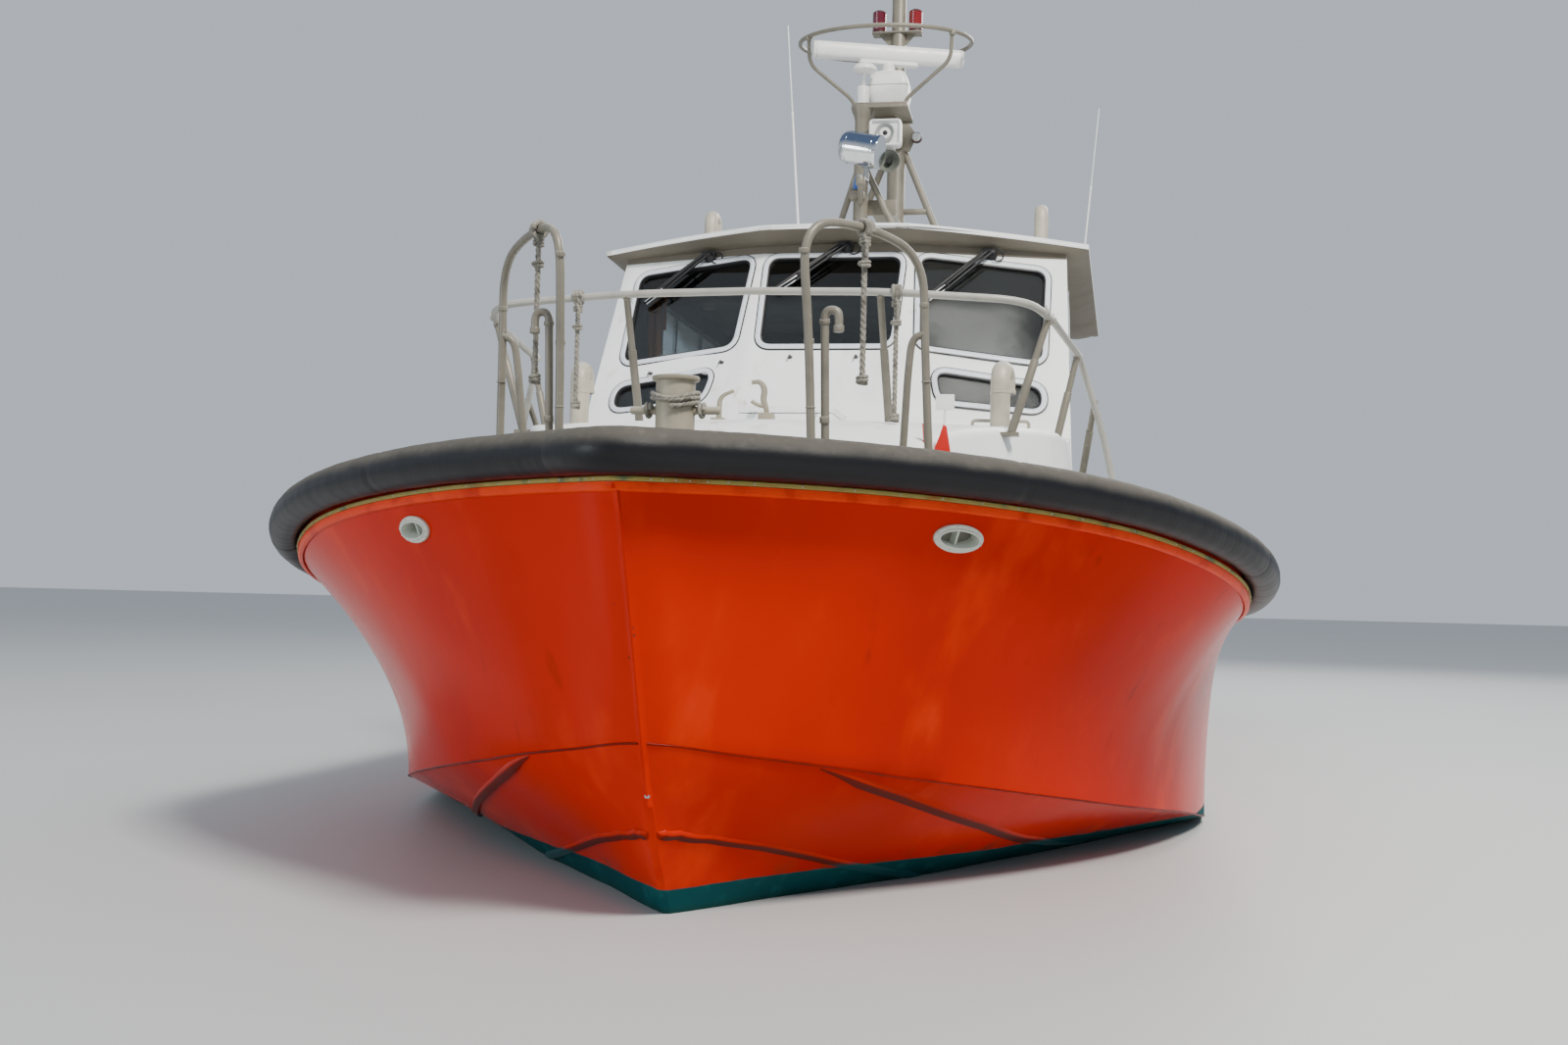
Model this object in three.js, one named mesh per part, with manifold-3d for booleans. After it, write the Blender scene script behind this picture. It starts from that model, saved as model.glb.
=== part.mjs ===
// Pilot boat, full size, in millimetres. +X is to port, +Y is aft, +Z is up.
// Z = 0 is the waterline and the origin lies amidships on the centreline.
// Inside the boat group Y counts aft from the point where the stem meets the water.
import * as THREE from "three";
import { mergeVertices } from "three/addons/utils/BufferGeometryUtils.js";
import Module from "manifold-3d";

const wasm = await Module();
wasm.setup();

// Driving dimensions
const STEM_TO_MIDSHIP = 7500;
const GAP = 0.3;
const FENDER_RADIUS = 100;
const FENDER_SEAT = 95;
const LIP_OUT = 22;
const LIP_TOP = -130;
const LIP_BOTTOM = -150;
const RIM_RISE = 60;
const DECK_CAMBER = 45;
const STEPS_PER_ROW = 2;
const RAIL_RADIUS = 22;

const HOUSE = {
  aftWall: 9150, wall: 60, frontHalf: 560, sweep: 320, rake: 0.627, faceAft: 4420, faceUp: 3340,
};
const HOUSE_SIDE = { lowUp: 1500, lowHalf: 1850, highUp: 4200, highHalf: 1750 };
const ROOF = { thick: 55, camber: 95, lip: 45 };
const SOLE_UP = 2300;
const DOOR = { left: -380, right: 380, bottom: 2330, top: 4030, thick: 45 };
const FRONT_POST = { x: -145, y: 7350, radius: 68, top: 6006 };
const REAR_POLE = { x: 55, y: 8457, radius: 90, waist: 5950, upperRadius: 70, top: 7650 };
const RADAR = { x: 60, y: 7570, deck: 6030, up: 6570, length: 1440, height: 165, depth: 125, turn: 18 };
const RADAR_RING = { x: 33, radius: 803, up: 6670, tilt: 7.3, tube: 20 };
const LIGHT = { x: -90, y: 6890, up: 5490, radius: 148, length: 350, turn: 80, tilt: 13 };
const PROPELLER = { half: 1150, aft: 14950, up: -860, radius: 350, hub: 72 };
const RUDDER = { half: 1150, aft: 15480, gland: -430, top: -470, bottom: -1230 };

// Hull lines, one row for each station. Columns: the deck edge, the chine, the inner spray
// line and the keel, each as aft, half breadth and up, then how far the topside hollows in.
const HULL_TABLE = [
  [[-945, 25, 2060], [-470, 20, 830], [-390, 18, 670], [-330, 18, 540], 0],
  [[-870, 120, 2062], [-425, 110, 822], [-330, 30, 560], [-250, 18, 400], 5],
  [[-755, 245, 2065], [-370, 195, 808], [-270, 50, 480], [-180, 18, 290], 15],
  [[-605, 455, 2067], [-230, 350, 775], [-170, 90, 410], [-100, 18, 190], 25],
  [[-250, 970, 2058], [-30, 600, 730], [0, 190, 350], [10, 18, 50], 35],
  [[110, 1430, 2033], [190, 820, 685], [180, 310, 300], [130, 18, -110], 55],
  [[465, 1830, 1993], [400, 1000, 640], [390, 440, 250], [300, 18, -290], 65],
  [[815, 2160, 1937], [620, 1180, 598], [620, 580, 195], [520, 18, -440], 80],
  [[1170, 2420, 1865], [890, 1400, 547], [870, 750, 130], [800, 18, -570], 95],
  [[1515, 2610, 1790], [1200, 1620, 490], [1180, 930, 65], [1130, 18, -670], 115],
  [[1860, 2735, 1715], [1620, 1890, 417], [1540, 1130, 10], [1500, 18, -750], 130],
  [[2210, 2800, 1645], [2035, 2115, 347], [1980, 1370, 0], [1900, 18, -800], 130],
  [[2560, 2825, 1595], [2450, 2305, 285], [2420, 1640, 0], [2350, 18, -840], 120],
  [[3200, 2840, 1540], [3200, 2560, 180], [3150, 2000, -20], [3100, 18, -870], 80],
  [[4200, 2850, 1500], [4200, 2750, 40], [4200, 2200, -110], [4200, 18, -890], 30],
  [[6500, 2855, 1460], [6500, 2770, -70], [6500, 2150, -180], [6500, 18, -900], 0],
  [[10000, 2840, 1430], [10000, 2750, -100], [10000, 2100, -190], [10000, 18, -860], 0],
  [[13500, 2760, 1430], [13500, 2670, -105], [13500, 2000, -190], [13500, 18, -740], 0],
  [[15900, 2650, 1450], [15900, 2560, -110], [15900, 1900, -190], [15900, 18, -620], 0],
];
const HULL_ROWS = HULL_TABLE.map(([deck, chine, inner, keel, hollow]) => (
  { deck, chine, inner, keel, hollow }));

// Colours and finishes
const FINISH = {
  orange: { color: 0xc8320a, roughness: 0.25, metalness: 0 },
  rubber: { color: 0x2a2b2c, roughness: 0.85, metalness: 0 },
  brass: { color: 0x7c6a3c, roughness: 0.6, metalness: 0.7 },
  white: { color: 0xe6e6e0, roughness: 0.45, metalness: 0 },
  beige: { color: 0xb9aea0, roughness: 0.55, metalness: 0 },
  dark: { color: 0x26282a, roughness: 0.5, metalness: 0 },
  glass: { color: 0x33414a, roughness: 0.05, metalness: 0 },
  chrome: { color: 0xd8dadc, roughness: 0.12, metalness: 1 },
  bronze: { color: 0x8a6a38, roughness: 0.4, metalness: 0.9 },
  steel: { color: 0x8b9094, roughness: 0.35, metalness: 0.9 },
  red: { color: 0xa01018, roughness: 0.2, metalness: 0 },
  rope: { color: 0x7d7a72, roughness: 0.95, metalness: 0 },
};

const boat = new THREE.Group();
boat.position.y = -STEM_TO_MIDSHIP;

// Solids and their joins
function toSolid(geometry) {
  const bare = geometry.clone();
  bare.deleteAttribute("normal");
  bare.deleteAttribute("uv");
  const merged = mergeVertices(bare, 1e-3);
  const mesh = new wasm.Mesh({
    numProp: 3,
    vertProperties: new Float32Array(merged.attributes.position.array),
    triVerts: new Uint32Array(merged.index.array),
  });
  return new wasm.Manifold(mesh);
}

function toGeometry(solid) {
  const mesh = solid.getMesh();
  const geometry = new THREE.BufferGeometry();
  geometry.setAttribute("position", new THREE.BufferAttribute(new Float32Array(mesh.vertProperties), 3));
  geometry.setIndex(new THREE.BufferAttribute(new Uint32Array(mesh.triVerts), 1));
  geometry.computeVertexNormals();
  return geometry;
}

const join = (...solids) => solids.reduce((whole, next) => whole.add(next));
const cut = (solid, ...tools) => tools.reduce((rest, tool) => rest.subtract(tool), solid);
const moved = (solid, x, y, z) => solid.translate([x, y, z]);
const mirrored = (solid) => solid.mirror([1, 0, 0]);
const bothSides = (solid) => solid.add(mirrored(solid));
const largest = (solid) => solid.decompose().sort((a, b) => b.volume() - a.volume())[0];

function piece(name, finish, solid, parent = boat) {
  const mesh = new THREE.Mesh(toGeometry(solid), new THREE.MeshStandardMaterial(FINISH[finish]));
  mesh.name = name;
  parent.add(mesh);
  return mesh;
}

function pair(name, finish, solid, ...cutters) {
  piece(`${name}_port`, finish, cut(solid, ...cutters));
  piece(`${name}_starboard`, finish, cut(mirrored(solid), ...cutters));
}

// Basic shapes, each given by its ends or its centre
function block(x0, x1, y0, y1, z0, z1) {
  const box = new THREE.BoxGeometry(x1 - x0, y1 - y0, z1 - z0);
  return toSolid(box.translate((x0 + x1) / 2, (y0 + y1) / 2, (z0 + z1) / 2));
}

function rod(from, to, radius, sides = 6, endRadius = radius) {
  const a = new THREE.Vector3(...from);
  const b = new THREE.Vector3(...to);
  const geometry = new THREE.CylinderGeometry(endRadius, radius, a.distanceTo(b), sides);
  const direction = b.clone().sub(a).normalize();
  geometry.applyQuaternion(new THREE.Quaternion().setFromUnitVectors(new THREE.Vector3(0, 1, 0), direction));
  return toSolid(geometry.translate((a.x + b.x) / 2, (a.y + b.y) / 2, (a.z + b.z) / 2));
}

function circleShape(radius, sides) {
  const shape = new THREE.Shape();
  for (let i = 0; i < sides; i += 1) {
    const angle = (2 * Math.PI * i) / sides;
    if (i === 0) shape.moveTo(radius, 0);
    else shape.lineTo(radius * Math.cos(angle), radius * Math.sin(angle));
  }
  return shape;
}

// A corner turned into a bend, and a tube swept along the points with mitred joints
function bent(points, reach, steps = 3) {
  const path = points.map((p) => new THREE.Vector3(...p));
  return path.flatMap((corner, i) => {
    if (i === 0 || i === path.length - 1) return [corner.toArray()];
    const ends = [path[i - 1], path[i + 1]].map((other) => (
      corner.clone().lerp(other, Math.min(reach / corner.distanceTo(other), 0.49))));
    const curve = new THREE.QuadraticBezierCurve3(ends[0], corner, ends[1]);
    return curve.getPoints(steps).map((p) => p.toArray());
  });
}

function tube(points, radius, sides = 8) {
  const path = points.map((p) => new THREE.Vector3(...p));
  let along = path[1].clone().sub(path[0]).normalize();
  const level = Math.abs(along.z) > 0.9 ? new THREE.Vector3(1, 0, 0) : new THREE.Vector3(0, 0, 1);
  const across = level.cross(along).normalize();
  let spokes = Array.from({ length: sides }, (unused, k) => (
    across.clone().applyAxisAngle(along, (2 * Math.PI * k) / sides).multiplyScalar(radius)));
  return loft(path.map((point, i) => {
    const next = i + 1 < path.length ? path[i + 1].clone().sub(point).normalize() : along;
    const mitre = along.clone().add(next).normalize();
    const slide = (spoke) => -spoke.dot(mitre) / along.dot(mitre);
    const onMitre = spokes.map((spoke) => spoke.clone().addScaledVector(along, slide(spoke)));
    spokes = onMitre.map((spoke) => spoke.clone().addScaledVector(next, -spoke.dot(next)));
    along = next;
    return onMitre.map((spoke) => spoke.add(point).toArray());
  }));
}

const bentTube = (points, radius, reach = 120, sides = 8, steps = 3) => (
  tube(bent(points, reach, steps), radius, sides));

// A flat outline in the XZ plane pushed along Y, or one in the YZ plane pushed along X
function pushedAft(outline, y0, y1) {
  const shape = new THREE.Shape(outline.map(([x, z]) => new THREE.Vector2(x, z)));
  const geometry = new THREE.ExtrudeGeometry(shape, { depth: y1 - y0, bevelEnabled: false });
  return toSolid(geometry.rotateX(Math.PI / 2).translate(0, y1, 0));
}

const pushedToPort = (outline, x0, x1) => pushedAft(outline, -x1, -x0).rotate([0, 0, 90]);

// Rings of points joined into one closed body, with its faces turned outwards
function facing(ring) {
  const normal = new THREE.Vector3();
  const corners = ring.map((p) => new THREE.Vector3(...p));
  corners.forEach((corner, i) => normal.add(corner.clone().cross(corners[(i + 1) % ring.length])));
  return normal.toArray().map(Math.abs);
}

function capFaces(ring, offset, forward) {
  const sizes = facing(ring);
  const dropped = sizes.indexOf(Math.max(...sizes));
  const flat = ring.map((p) => new THREE.Vector2(...p.filter((value, axis) => axis !== dropped)));
  const triangles = THREE.ShapeUtils.triangulateShape(flat, []);
  const follows = (a, b) => (a + 1) % ring.length === b;
  const runsForward = triangles.some(([a, b, c]) => follows(a, b) || follows(b, c) || follows(c, a));
  return triangles.flatMap((t) => (runsForward === forward ? t : [...t].reverse()).map((k) => k + offset));
}

function signedVolume(points, faces) {
  let total = 0;
  for (let k = 0; k < faces.length; k += 3) {
    const [a, b, c] = [0, 1, 2].map((corner) => new THREE.Vector3(...points[faces[k + corner]]));
    total += a.dot(b.cross(c)) / 6;
  }
  return total;
}

function loft(rings) {
  const count = rings[0].length;
  const points = rings.flat();
  const lastRing = (rings.length - 1) * count;
  const faces = [...capFaces(rings[0], 0, false), ...capFaces(rings.at(-1), lastRing, true)];
  for (let i = 0; i + 1 < rings.length; i += 1) {
    for (let j = 0; j < count; j += 1) {
      const a = i * count + j;
      const b = i * count + ((j + 1) % count);
      faces.push(a, b, b + count, a, b + count, a + count);
    }
  }
  if (signedVolume(points, faces) < 0) faces.reverse();
  const geometry = new THREE.BufferGeometry();
  geometry.setAttribute("position", new THREE.Float32BufferAttribute(points.flat(), 3));
  geometry.setIndex(faces);
  return toSolid(geometry);
}

// A closed outline with its corners rounded, and one moved in by a margin
function rounded(outline, radius) {
  return outline.flatMap((corner, i) => {
    const [before, here, after] = [outline.at(i - 1), corner, outline[(i + 1) % outline.length]]
      .map((p) => new THREE.Vector2(...p));
    const start = here.clone().add(before.sub(here).setLength(radius));
    const end = here.clone().add(after.sub(here).setLength(radius));
    const middle = start.clone().add(end).multiplyScalar(0.25).addScaledVector(here, 0.5);
    return [start, middle, end].map((p) => p.toArray());
  });
}

function inset(outline, margin) {
  const turn = Math.sign(THREE.ShapeUtils.area(outline.map((p) => new THREE.Vector2(...p))));
  return outline.map((corner, i) => {
    const [before, here, after] = [outline.at(i - 1), corner, outline[(i + 1) % outline.length]]
      .map((p) => new THREE.Vector2(...p));
    const first = here.clone().sub(before).normalize();
    const second = after.sub(here).normalize();
    const inward = new THREE.Vector2(-first.y - second.y, first.x + second.x).multiplyScalar(turn);
    inward.normalize();
    const normal = new THREE.Vector2(-first.y, first.x).multiplyScalar(turn);
    return here.addScaledVector(inward, margin / inward.dot(normal)).toArray();
  });
}

// Hull lines drawn through the rows of the table
const LAST_ROW = HULL_ROWS.length - 1;
const STRAIGHT_ROW = 14;
const STATION_COUNT = STRAIGHT_ROW * STEPS_PER_ROW + LAST_ROW - STRAIGHT_ROW + 1;
const LINES = Object.fromEntries(["deck", "chine", "inner", "keel"].map((line) => {
  const points = HULL_ROWS.map((row) => new THREE.Vector3(row[line][1], row[line][0], row[line][2]));
  return [line, new THREE.CatmullRomCurve3(points, false, "centripetal")];
}));
const lineAt = (line, row) => LINES[line].getPoint(row / LAST_ROW);
const hollowAt = (row) => {
  const low = Math.min(Math.floor(row), LAST_ROW - 1);
  return THREE.MathUtils.lerp(HULL_ROWS[low].hollow, HULL_ROWS[low + 1].hollow, row - low);
};
const ROWS = Array.from({ length: STATION_COUNT }, (unused, i) => (
  i < STRAIGHT_ROW * STEPS_PER_ROW ? i / STEPS_PER_ROW : STRAIGHT_ROW + i - STRAIGHT_ROW * STEPS_PER_ROW));

// The deck edge in plan from the starboard quarter round the bow to the port quarter
const PORT_EDGE = ROWS.map((row) => lineAt("deck", row));
const EDGE = [...PORT_EDGE].reverse().map((p) => new THREE.Vector3(-p.x, p.y, p.z)).concat(PORT_EDGE);

function edgePoint(index, outward, rise) {
  const here = EDGE[index];
  const before = EDGE[Math.max(index - 1, 0)];
  const after = EDGE[Math.min(index + 1, EDGE.length - 1)];
  const first = new THREE.Vector2(here.x - before.x, here.y - before.y).normalize();
  const second = new THREE.Vector2(after.x - here.x, after.y - here.y).normalize();
  const normals = [first, second].filter((d) => d.length() > 0).map((d) => new THREE.Vector2(d.y, -d.x));
  const bisector = normals.reduce((sum, n) => sum.add(n), new THREE.Vector2()).normalize();
  const reach = outward / bisector.dot(normals.at(-1).normalize());
  return [here.x + bisector.x * reach, here.y + bisector.y * reach, here.z + rise];
}

const edgeRing = (section, i) => section.map(([out, rise]) => edgePoint(i, out, rise));
const sweepEdge = (section) => loft(EDGE.map((unused, i) => edgeRing(section, i)));

function hullRing(station) {
  const row = ROWS[station];
  const edgeIndex = STATION_COUNT + station;
  const [keel, inner, chine] = ["keel", "inner", "chine"].map((line) => lineAt(line, row).toArray());
  const under = edgePoint(edgeIndex, 0, LIP_BOTTOM);
  const middle = chine.map((value, axis) => (value + under[axis]) / 2);
  middle[0] = Math.max(middle[0] - hollowAt(row), chine[0] / 2);
  const lip = [[LIP_OUT, LIP_BOTTOM], [LIP_OUT, LIP_TOP], [0, LIP_TOP], [0, RIM_RISE]];
  const above = lip.map(([out, rise]) => edgePoint(edgeIndex, out, rise));
  const port = [keel, inner, chine, middle, under, ...above];
  const [, crownAft, crownUp] = port.at(-1);
  const starboard = port.map(([x, y, z]) => [-x, y, z]).reverse();
  return [...port, [0, crownAft, crownUp + DECK_CAMBER], ...starboard];
}

// Upper spray rail and inner spray rail: triangular bars along lines of the bottom
const UPPER_RAIL_ROWS = [[7, 0.97], [8, 0.86], [9, 0.72], [10, 0.57], [11, 0.42], [12, 0.28]];
const bottomPoint = (row, share) => lineAt("inner", row).lerp(lineAt("chine", row), share);

function sprayRail(points, size) {
  return loft(points.map(({ x, y, z }) => [
    [x - size, y, z + size], [x + size, y, z + size],
    [x + size, y, z - size * 0.1], [x - size * 0.2, y, z - size * 0.9],
  ]));
}

const KEEL_ROWS = [[700, -560], [1900, -880], [4200, -1010], [9000, -1090], [13200, -1130], [13900, -1000]];
const GLAND_RADIUS = 75;

function hull() {
  const shell = loft(ROWS.map((unused, station) => hullRing(station)));
  const innerRows = ROWS.filter((row) => row >= 2 && row <= 11);
  const innerRail = sprayRail(innerRows.map((row) => bottomPoint(row, 0)), 26);
  const upperRail = sprayRail(UPPER_RAIL_ROWS.map(([row, share]) => bottomPoint(row, share)), 30);
  const keelBar = loft(KEEL_ROWS.map(([y, z]) => [[-28, y, -300], [28, y, -300], [28, y, z], [-28, y, z]]));
  const gland = rod([RUDDER.half, RUDDER.aft, 0], [RUDDER.half, RUDDER.aft, RUDDER.gland], GLAND_RADIUS, 12);
  return join(shell, keelBar, bothSides(join(innerRail, upperRail, gland)));
}

const HULL = hull();
const HULL_CUTTER = moved(HULL, 0, 0, GAP);

// Oval mouths in the flare of the bow
const HAWSE = { row: 4.9, share: 0.8, long: 115, high: 46, deep: 60, rim: 14 };

function flareFrame(row, share) {
  const at = (r) => {
    const station = r * STEPS_PER_ROW;
    const ringA = hullRing(Math.floor(station));
    const ringB = hullRing(Math.min(Math.ceil(station), STATION_COUNT - 1));
    const mix = station - Math.floor(station);
    const [low, high] = [3, 4].map((k) => {
      const corner = new THREE.Vector3(...ringA[k]);
      return corner.lerp(new THREE.Vector3(...ringB[k]), mix);
    });
    return low.lerp(high, share);
  };
  const centre = at(row);
  const along = at(row + 0.4).sub(at(row - 0.4)).normalize();
  const station = Math.round(row * STEPS_PER_ROW);
  const ring = hullRing(station);
  const upward = new THREE.Vector3(...ring[4]).sub(new THREE.Vector3(...ring[3])).normalize();
  const outward = along.clone().cross(upward).normalize();
  if (outward.x < 0) outward.negate();
  return new THREE.Matrix4().makeBasis(along, outward.clone().cross(along), outward).setPosition(centre);
}

function ovalShape(long, high) {
  const shape = new THREE.Shape();
  shape.absellipse(0, 0, long, high, 0, 2 * Math.PI);
  return shape;
}

function ovalPrism(frame, long, high, low, top) {
  const options = { depth: top - low, bevelEnabled: false, curveSegments: 7 };
  const geometry = new THREE.ExtrudeGeometry(ovalShape(long, high), options);
  return toSolid(geometry.translate(0, 0, low).applyMatrix4(frame));
}

const hawseFrame = flareFrame(HAWSE.row, HAWSE.share);
const hawseHole = ovalPrism(hawseFrame, HAWSE.long, HAWSE.high, -HAWSE.deep, 100);
const hawseRim = cut(
  ovalPrism(hawseFrame, HAWSE.long + HAWSE.rim, HAWSE.high + HAWSE.rim, -HAWSE.deep, HAWSE.rim),
  hawseHole,
);

// Cleats, air pipes and the coaming of the stern hatch, all welded to the deck
function cleat(x, y, base, length, turned) {
  const half = length / 2;
  const horn = tube([[-half, 0, 66], [-half * 0.5, 0, 50], [half * 0.5, 0, 50], [half, 0, 66]], 14, 6);
  const legs = [-half * 0.35, half * 0.35].map((at) => rod([at, 0, -60], [at, 0, 50], 14, 6));
  return join(horn, ...legs).rotate([0, 0, turned]).translate([x, y, base]);
}
const hullCleats = join(cleat(2520, 8200, 1500, 300, 90), cleat(2350, 15200, 1500, 300, 90));
const swanNeck = bentTube([[680, 215, 1800], [672, 97, 2825], [740, 92, 2825], [740, 94, 2720]], 20, 45, 6);

function frameWall(half, fore, aft, low, top, wall) {
  const inside = block(wall - half, half - wall, fore + wall, aft - wall, low - 10, top + 10);
  return cut(block(-half, half, fore, aft, low, top), inside);
}

// Hinges: two fixed knuckles with one moving knuckle between them on one axis
const KNUCKLE = { radius: 13, length: 50, leaf: 4 };

function hinge(centre, direction, towards, reach, fixedTowards, fixedReach) {
  const along = new THREE.Vector3(...direction);
  const place = new THREE.Vector3(...centre);
  const knuckle = (shift, length) => {
    const from = place.clone().addScaledVector(along, shift - length / 2);
    const to = place.clone().addScaledVector(along, shift + length / 2);
    return rod(from.toArray(), to.toArray(), KNUCKLE.radius, 8);
  };
  const leafTab = (shift, side, length) => {
    const direct = new THREE.Vector3(...side);
    const across = along.clone().cross(direct).normalize();
    const [a, b] = [-0.5, 0.5].map((end) => (
      place.clone().addScaledVector(along, shift + end * (KNUCKLE.length - 2 * GAP))));
    const ring = (from) => [[0, -1], [length, -1], [length, 1], [0, 1]].map(([out, up]) => (
      from.clone().addScaledVector(direct, out).addScaledVector(across, up * KNUCKLE.leaf).toArray()));
    return loft([ring(a), ring(b)]);
  };
  const step = KNUCKLE.length + GAP;
  const moving = join(knuckle(0, KNUCKLE.length - GAP), leafTab(0, towards, reach));
  const fixed = [-step, step].map((shift) => (
    join(knuckle(shift, KNUCKLE.length - GAP), leafTab(shift, fixedTowards, fixedReach))));
  return { moving, fixed: join(...fixed) };
}

// A hatch lid on its coaming, with its hinge line just outside one edge
const HINGE_OUT = 22;
const HINGE_RISE = 18;
function lidOn(hatch, half0, half1) {
  const low = hatch.top + hatch.seal;
  return block(half0, half1, hatch.fore, hatch.aft, low, low + hatch.lid);
}

const LAZARETTE = { half: 380, fore: 14050, aft: 14750, coaming: 35, top: 1610, lid: 40, seal: 6 };
const lazaretteHinges = [-230, 230].map((x) => hinge(
  [x, LAZARETTE.fore - HINGE_OUT, LAZARETTE.top + HINGE_RISE], [1, 0, 0], [0, 1, 0], 60, [0, 0, -1], 200));
const lazaretteCoaming = frameWall(
  LAZARETTE.half, LAZARETTE.fore, LAZARETTE.aft, 1300, LAZARETTE.top, LAZARETTE.coaming);

// Stern tubes and brackets that carry the inclined shafts
const SHAFT_ANGLE = Math.atan2(400, 2350);
const SHAFT = {
  radius: 34, bore: 35.8, tubeFrom: 2150, tubeTo: 2750, tubeRadius: 62, boss: 60, bossFrom: 120, bossTo: 330,
};
const shaftPoint = (distance) => [PROPELLER.half, PROPELLER.aft - distance * Math.cos(SHAFT_ANGLE),
  PROPELLER.up + distance * Math.sin(SHAFT_ANGLE)];
const sternTube = rod(shaftPoint(SHAFT.tubeFrom), shaftPoint(SHAFT.tubeTo), SHAFT.tubeRadius, 12);
const bossMiddle = shaftPoint((SHAFT.bossFrom + SHAFT.bossTo) / 2);
const strutRing = (x, z, chord) => (
  [[-12, -chord * 0.6], [12, -chord * 0.6], [12, chord], [-12, chord]].map(([dx, dy]) => (
    [x + dx, bossMiddle[1] + dy, z])));
const strut = (spread) => loft([
  strutRing(bossMiddle[0], bossMiddle[2], 70), strutRing(bossMiddle[0] + spread, -100, 90),
]);
const shaftBracket = cut(
  join(rod(shaftPoint(SHAFT.bossFrom), shaftPoint(SHAFT.bossTo), SHAFT.boss, 12), strut(-210), strut(210)),
  rod(shaftPoint(0), shaftPoint(SHAFT.tubeFrom - 100), SHAFT.bore, 12),
);

piece("hull", "orange", join(
  cut(HULL, bothSides(hawseHole)),
  bothSides(join(hawseRim, hullCleats, swanNeck, sternTube, shaftBracket)),
  lazaretteCoaming, ...lazaretteHinges.map((h) => h.fixed),
));

// Fender: a round roll, flat where it sits on the deck edge, and the strip under it
function fenderSection() {
  const seatAngle = Math.acos((GAP - FENDER_SEAT) / FENDER_RADIUS);
  const sides = 9;
  return Array.from({ length: sides + 1 }, (unused, i) => {
    const angle = -seatAngle + (2 * seatAngle * i) / sides;
    return [FENDER_SEAT + FENDER_RADIUS * Math.cos(angle), FENDER_RADIUS * Math.sin(angle)];
  });
}
const STRIP_SECTION = [[GAP, -124], [26, -124], [34, -82], [GAP, -76]];
piece("fender", "rubber", sweepEdge(fenderSection()));
piece("fender_strip", "brass", sweepEdge(STRIP_SECTION));

// Raised foredeck trunk with the coaming of its hatch
const TRUNK_ROWS = [
  { aft: 950, topHalf: 820, top: 2170, baseHalf: 1000, base: 1000 },
  { aft: 1500, topHalf: 1180, top: 2400, baseHalf: 1400, base: 1000 },
  { aft: 2200, topHalf: 1480, top: 2500, baseHalf: 1720, base: 1000 },
  { aft: 3000, topHalf: 1720, top: 2560, baseHalf: 1900, base: 1000 },
  { aft: 4300, topHalf: 1800, top: 2640, baseHalf: 1960, base: 1000 },
];
const TRUNK_CAMBER = 40;
const TRUNK_END = TRUNK_ROWS.at(-1).aft;
const HATCH = { half: 310, fore: 2850, aft: 3470, coaming: 40, top: 2650, lid: 45, seal: 5 };

function trunkBody(grow) {
  const last = TRUNK_ROWS.length - 1;
  return loft(TRUNK_ROWS.map((row, i) => {
    const y = row.aft + (i === last ? grow : 0) - (i === 0 ? grow : 0);
    const shoulder = [row.topHalf + grow, y, row.top + grow];
    const port = [[row.baseHalf + grow, y, row.base], shoulder];
    return [...port, [0, y, row.top + TRUNK_CAMBER + grow], ...port.map(([x, a, z]) => [-x, a, z]).reverse()];
  }));
}

const hatchCoaming = frameWall(HATCH.half, HATCH.fore, HATCH.aft, 2500, HATCH.top, HATCH.coaming);
const TRUNK_CUTTER = trunkBody(GAP);

const foreHinges = [-200, 200].map((x) => hinge(
  [x, HATCH.fore - HINGE_OUT, HATCH.top + HINGE_RISE], [1, 0, 0], [0, 1, 0], 60, [0, 0, -1], 150));
const deckVent = bentTube(
  [[1370, 2840, 2300], [1370, 2845, 2930], [1370, 3025, 2930], [1370, 3025, 2800]], 64, 95, 10);
const trunk = cut(join(trunkBody(0), hatchCoaming), HULL_CUTTER);
const trunkCleats = join(cleat(-290, 2300, 2545, 260, 0), cleat(0, 2000, 2520, 230, 90));
const foreHatchLid = lidOn(HATCH, -HATCH.half, HATCH.half);
piece("foredeck_trunk", "white", join(
  trunk, trunkCleats, bothSides(deckVent), ...foreHinges.map((h) => h.fixed)));
piece("foredeck_hatch", "white", join(foreHatchLid, ...foreHinges.map((h) => h.moving)));
const FIXED_TOP_CUTTERS = [HULL_CUTTER, TRUNK_CUTTER];

// Wheelhouse shell: a raked front in three faces, upright sides and an upright back
const { lowUp, lowHalf, highUp, highHalf } = HOUSE_SIDE;
const houseHalf = (up) => THREE.MathUtils.mapLinear(up, lowUp, highUp, lowHalf, highHalf);
const houseFront = (up) => HOUSE.faceAft + HOUSE.rake * (up - HOUSE.faceUp);

function houseOutline(up, margin) {
  const front = houseFront(up);
  const half = houseHalf(up);
  const port = [[HOUSE.frontHalf, front], [half, front + HOUSE.sweep], [half, HOUSE.aftWall]];
  const plan = [...port, ...port.map(([x, y]) => [-x, y]).reverse()];
  return inset(plan, margin).map(([x, y]) => [x, y, up]);
}

const HOUSE_LOW = 1000;
const HOUSE_HIGH = 4600;
const houseBody = (margin) => loft([houseOutline(HOUSE_LOW, margin), houseOutline(HOUSE_HIGH, margin)]);

// Roof: a cambered slab with a turned-down edge, wider aft and swept at the front
const ROOF_PLAN = { frontAft: 4740, cornerAft: 5200, cornerHalf: 1920, backAft: 9350, backHalf: 2060 };
const ROOF_EDGE_UP = 4215;
const ROOF_ACROSS = [-1, -0.97, -0.8, -0.55, -0.29, 0, 0.29, 0.55, 0.8, 0.97, 1];
const ROOF_ALONG = [0, 0.015, 0.25, 0.5, 0.75, 0.985, 1];

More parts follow.
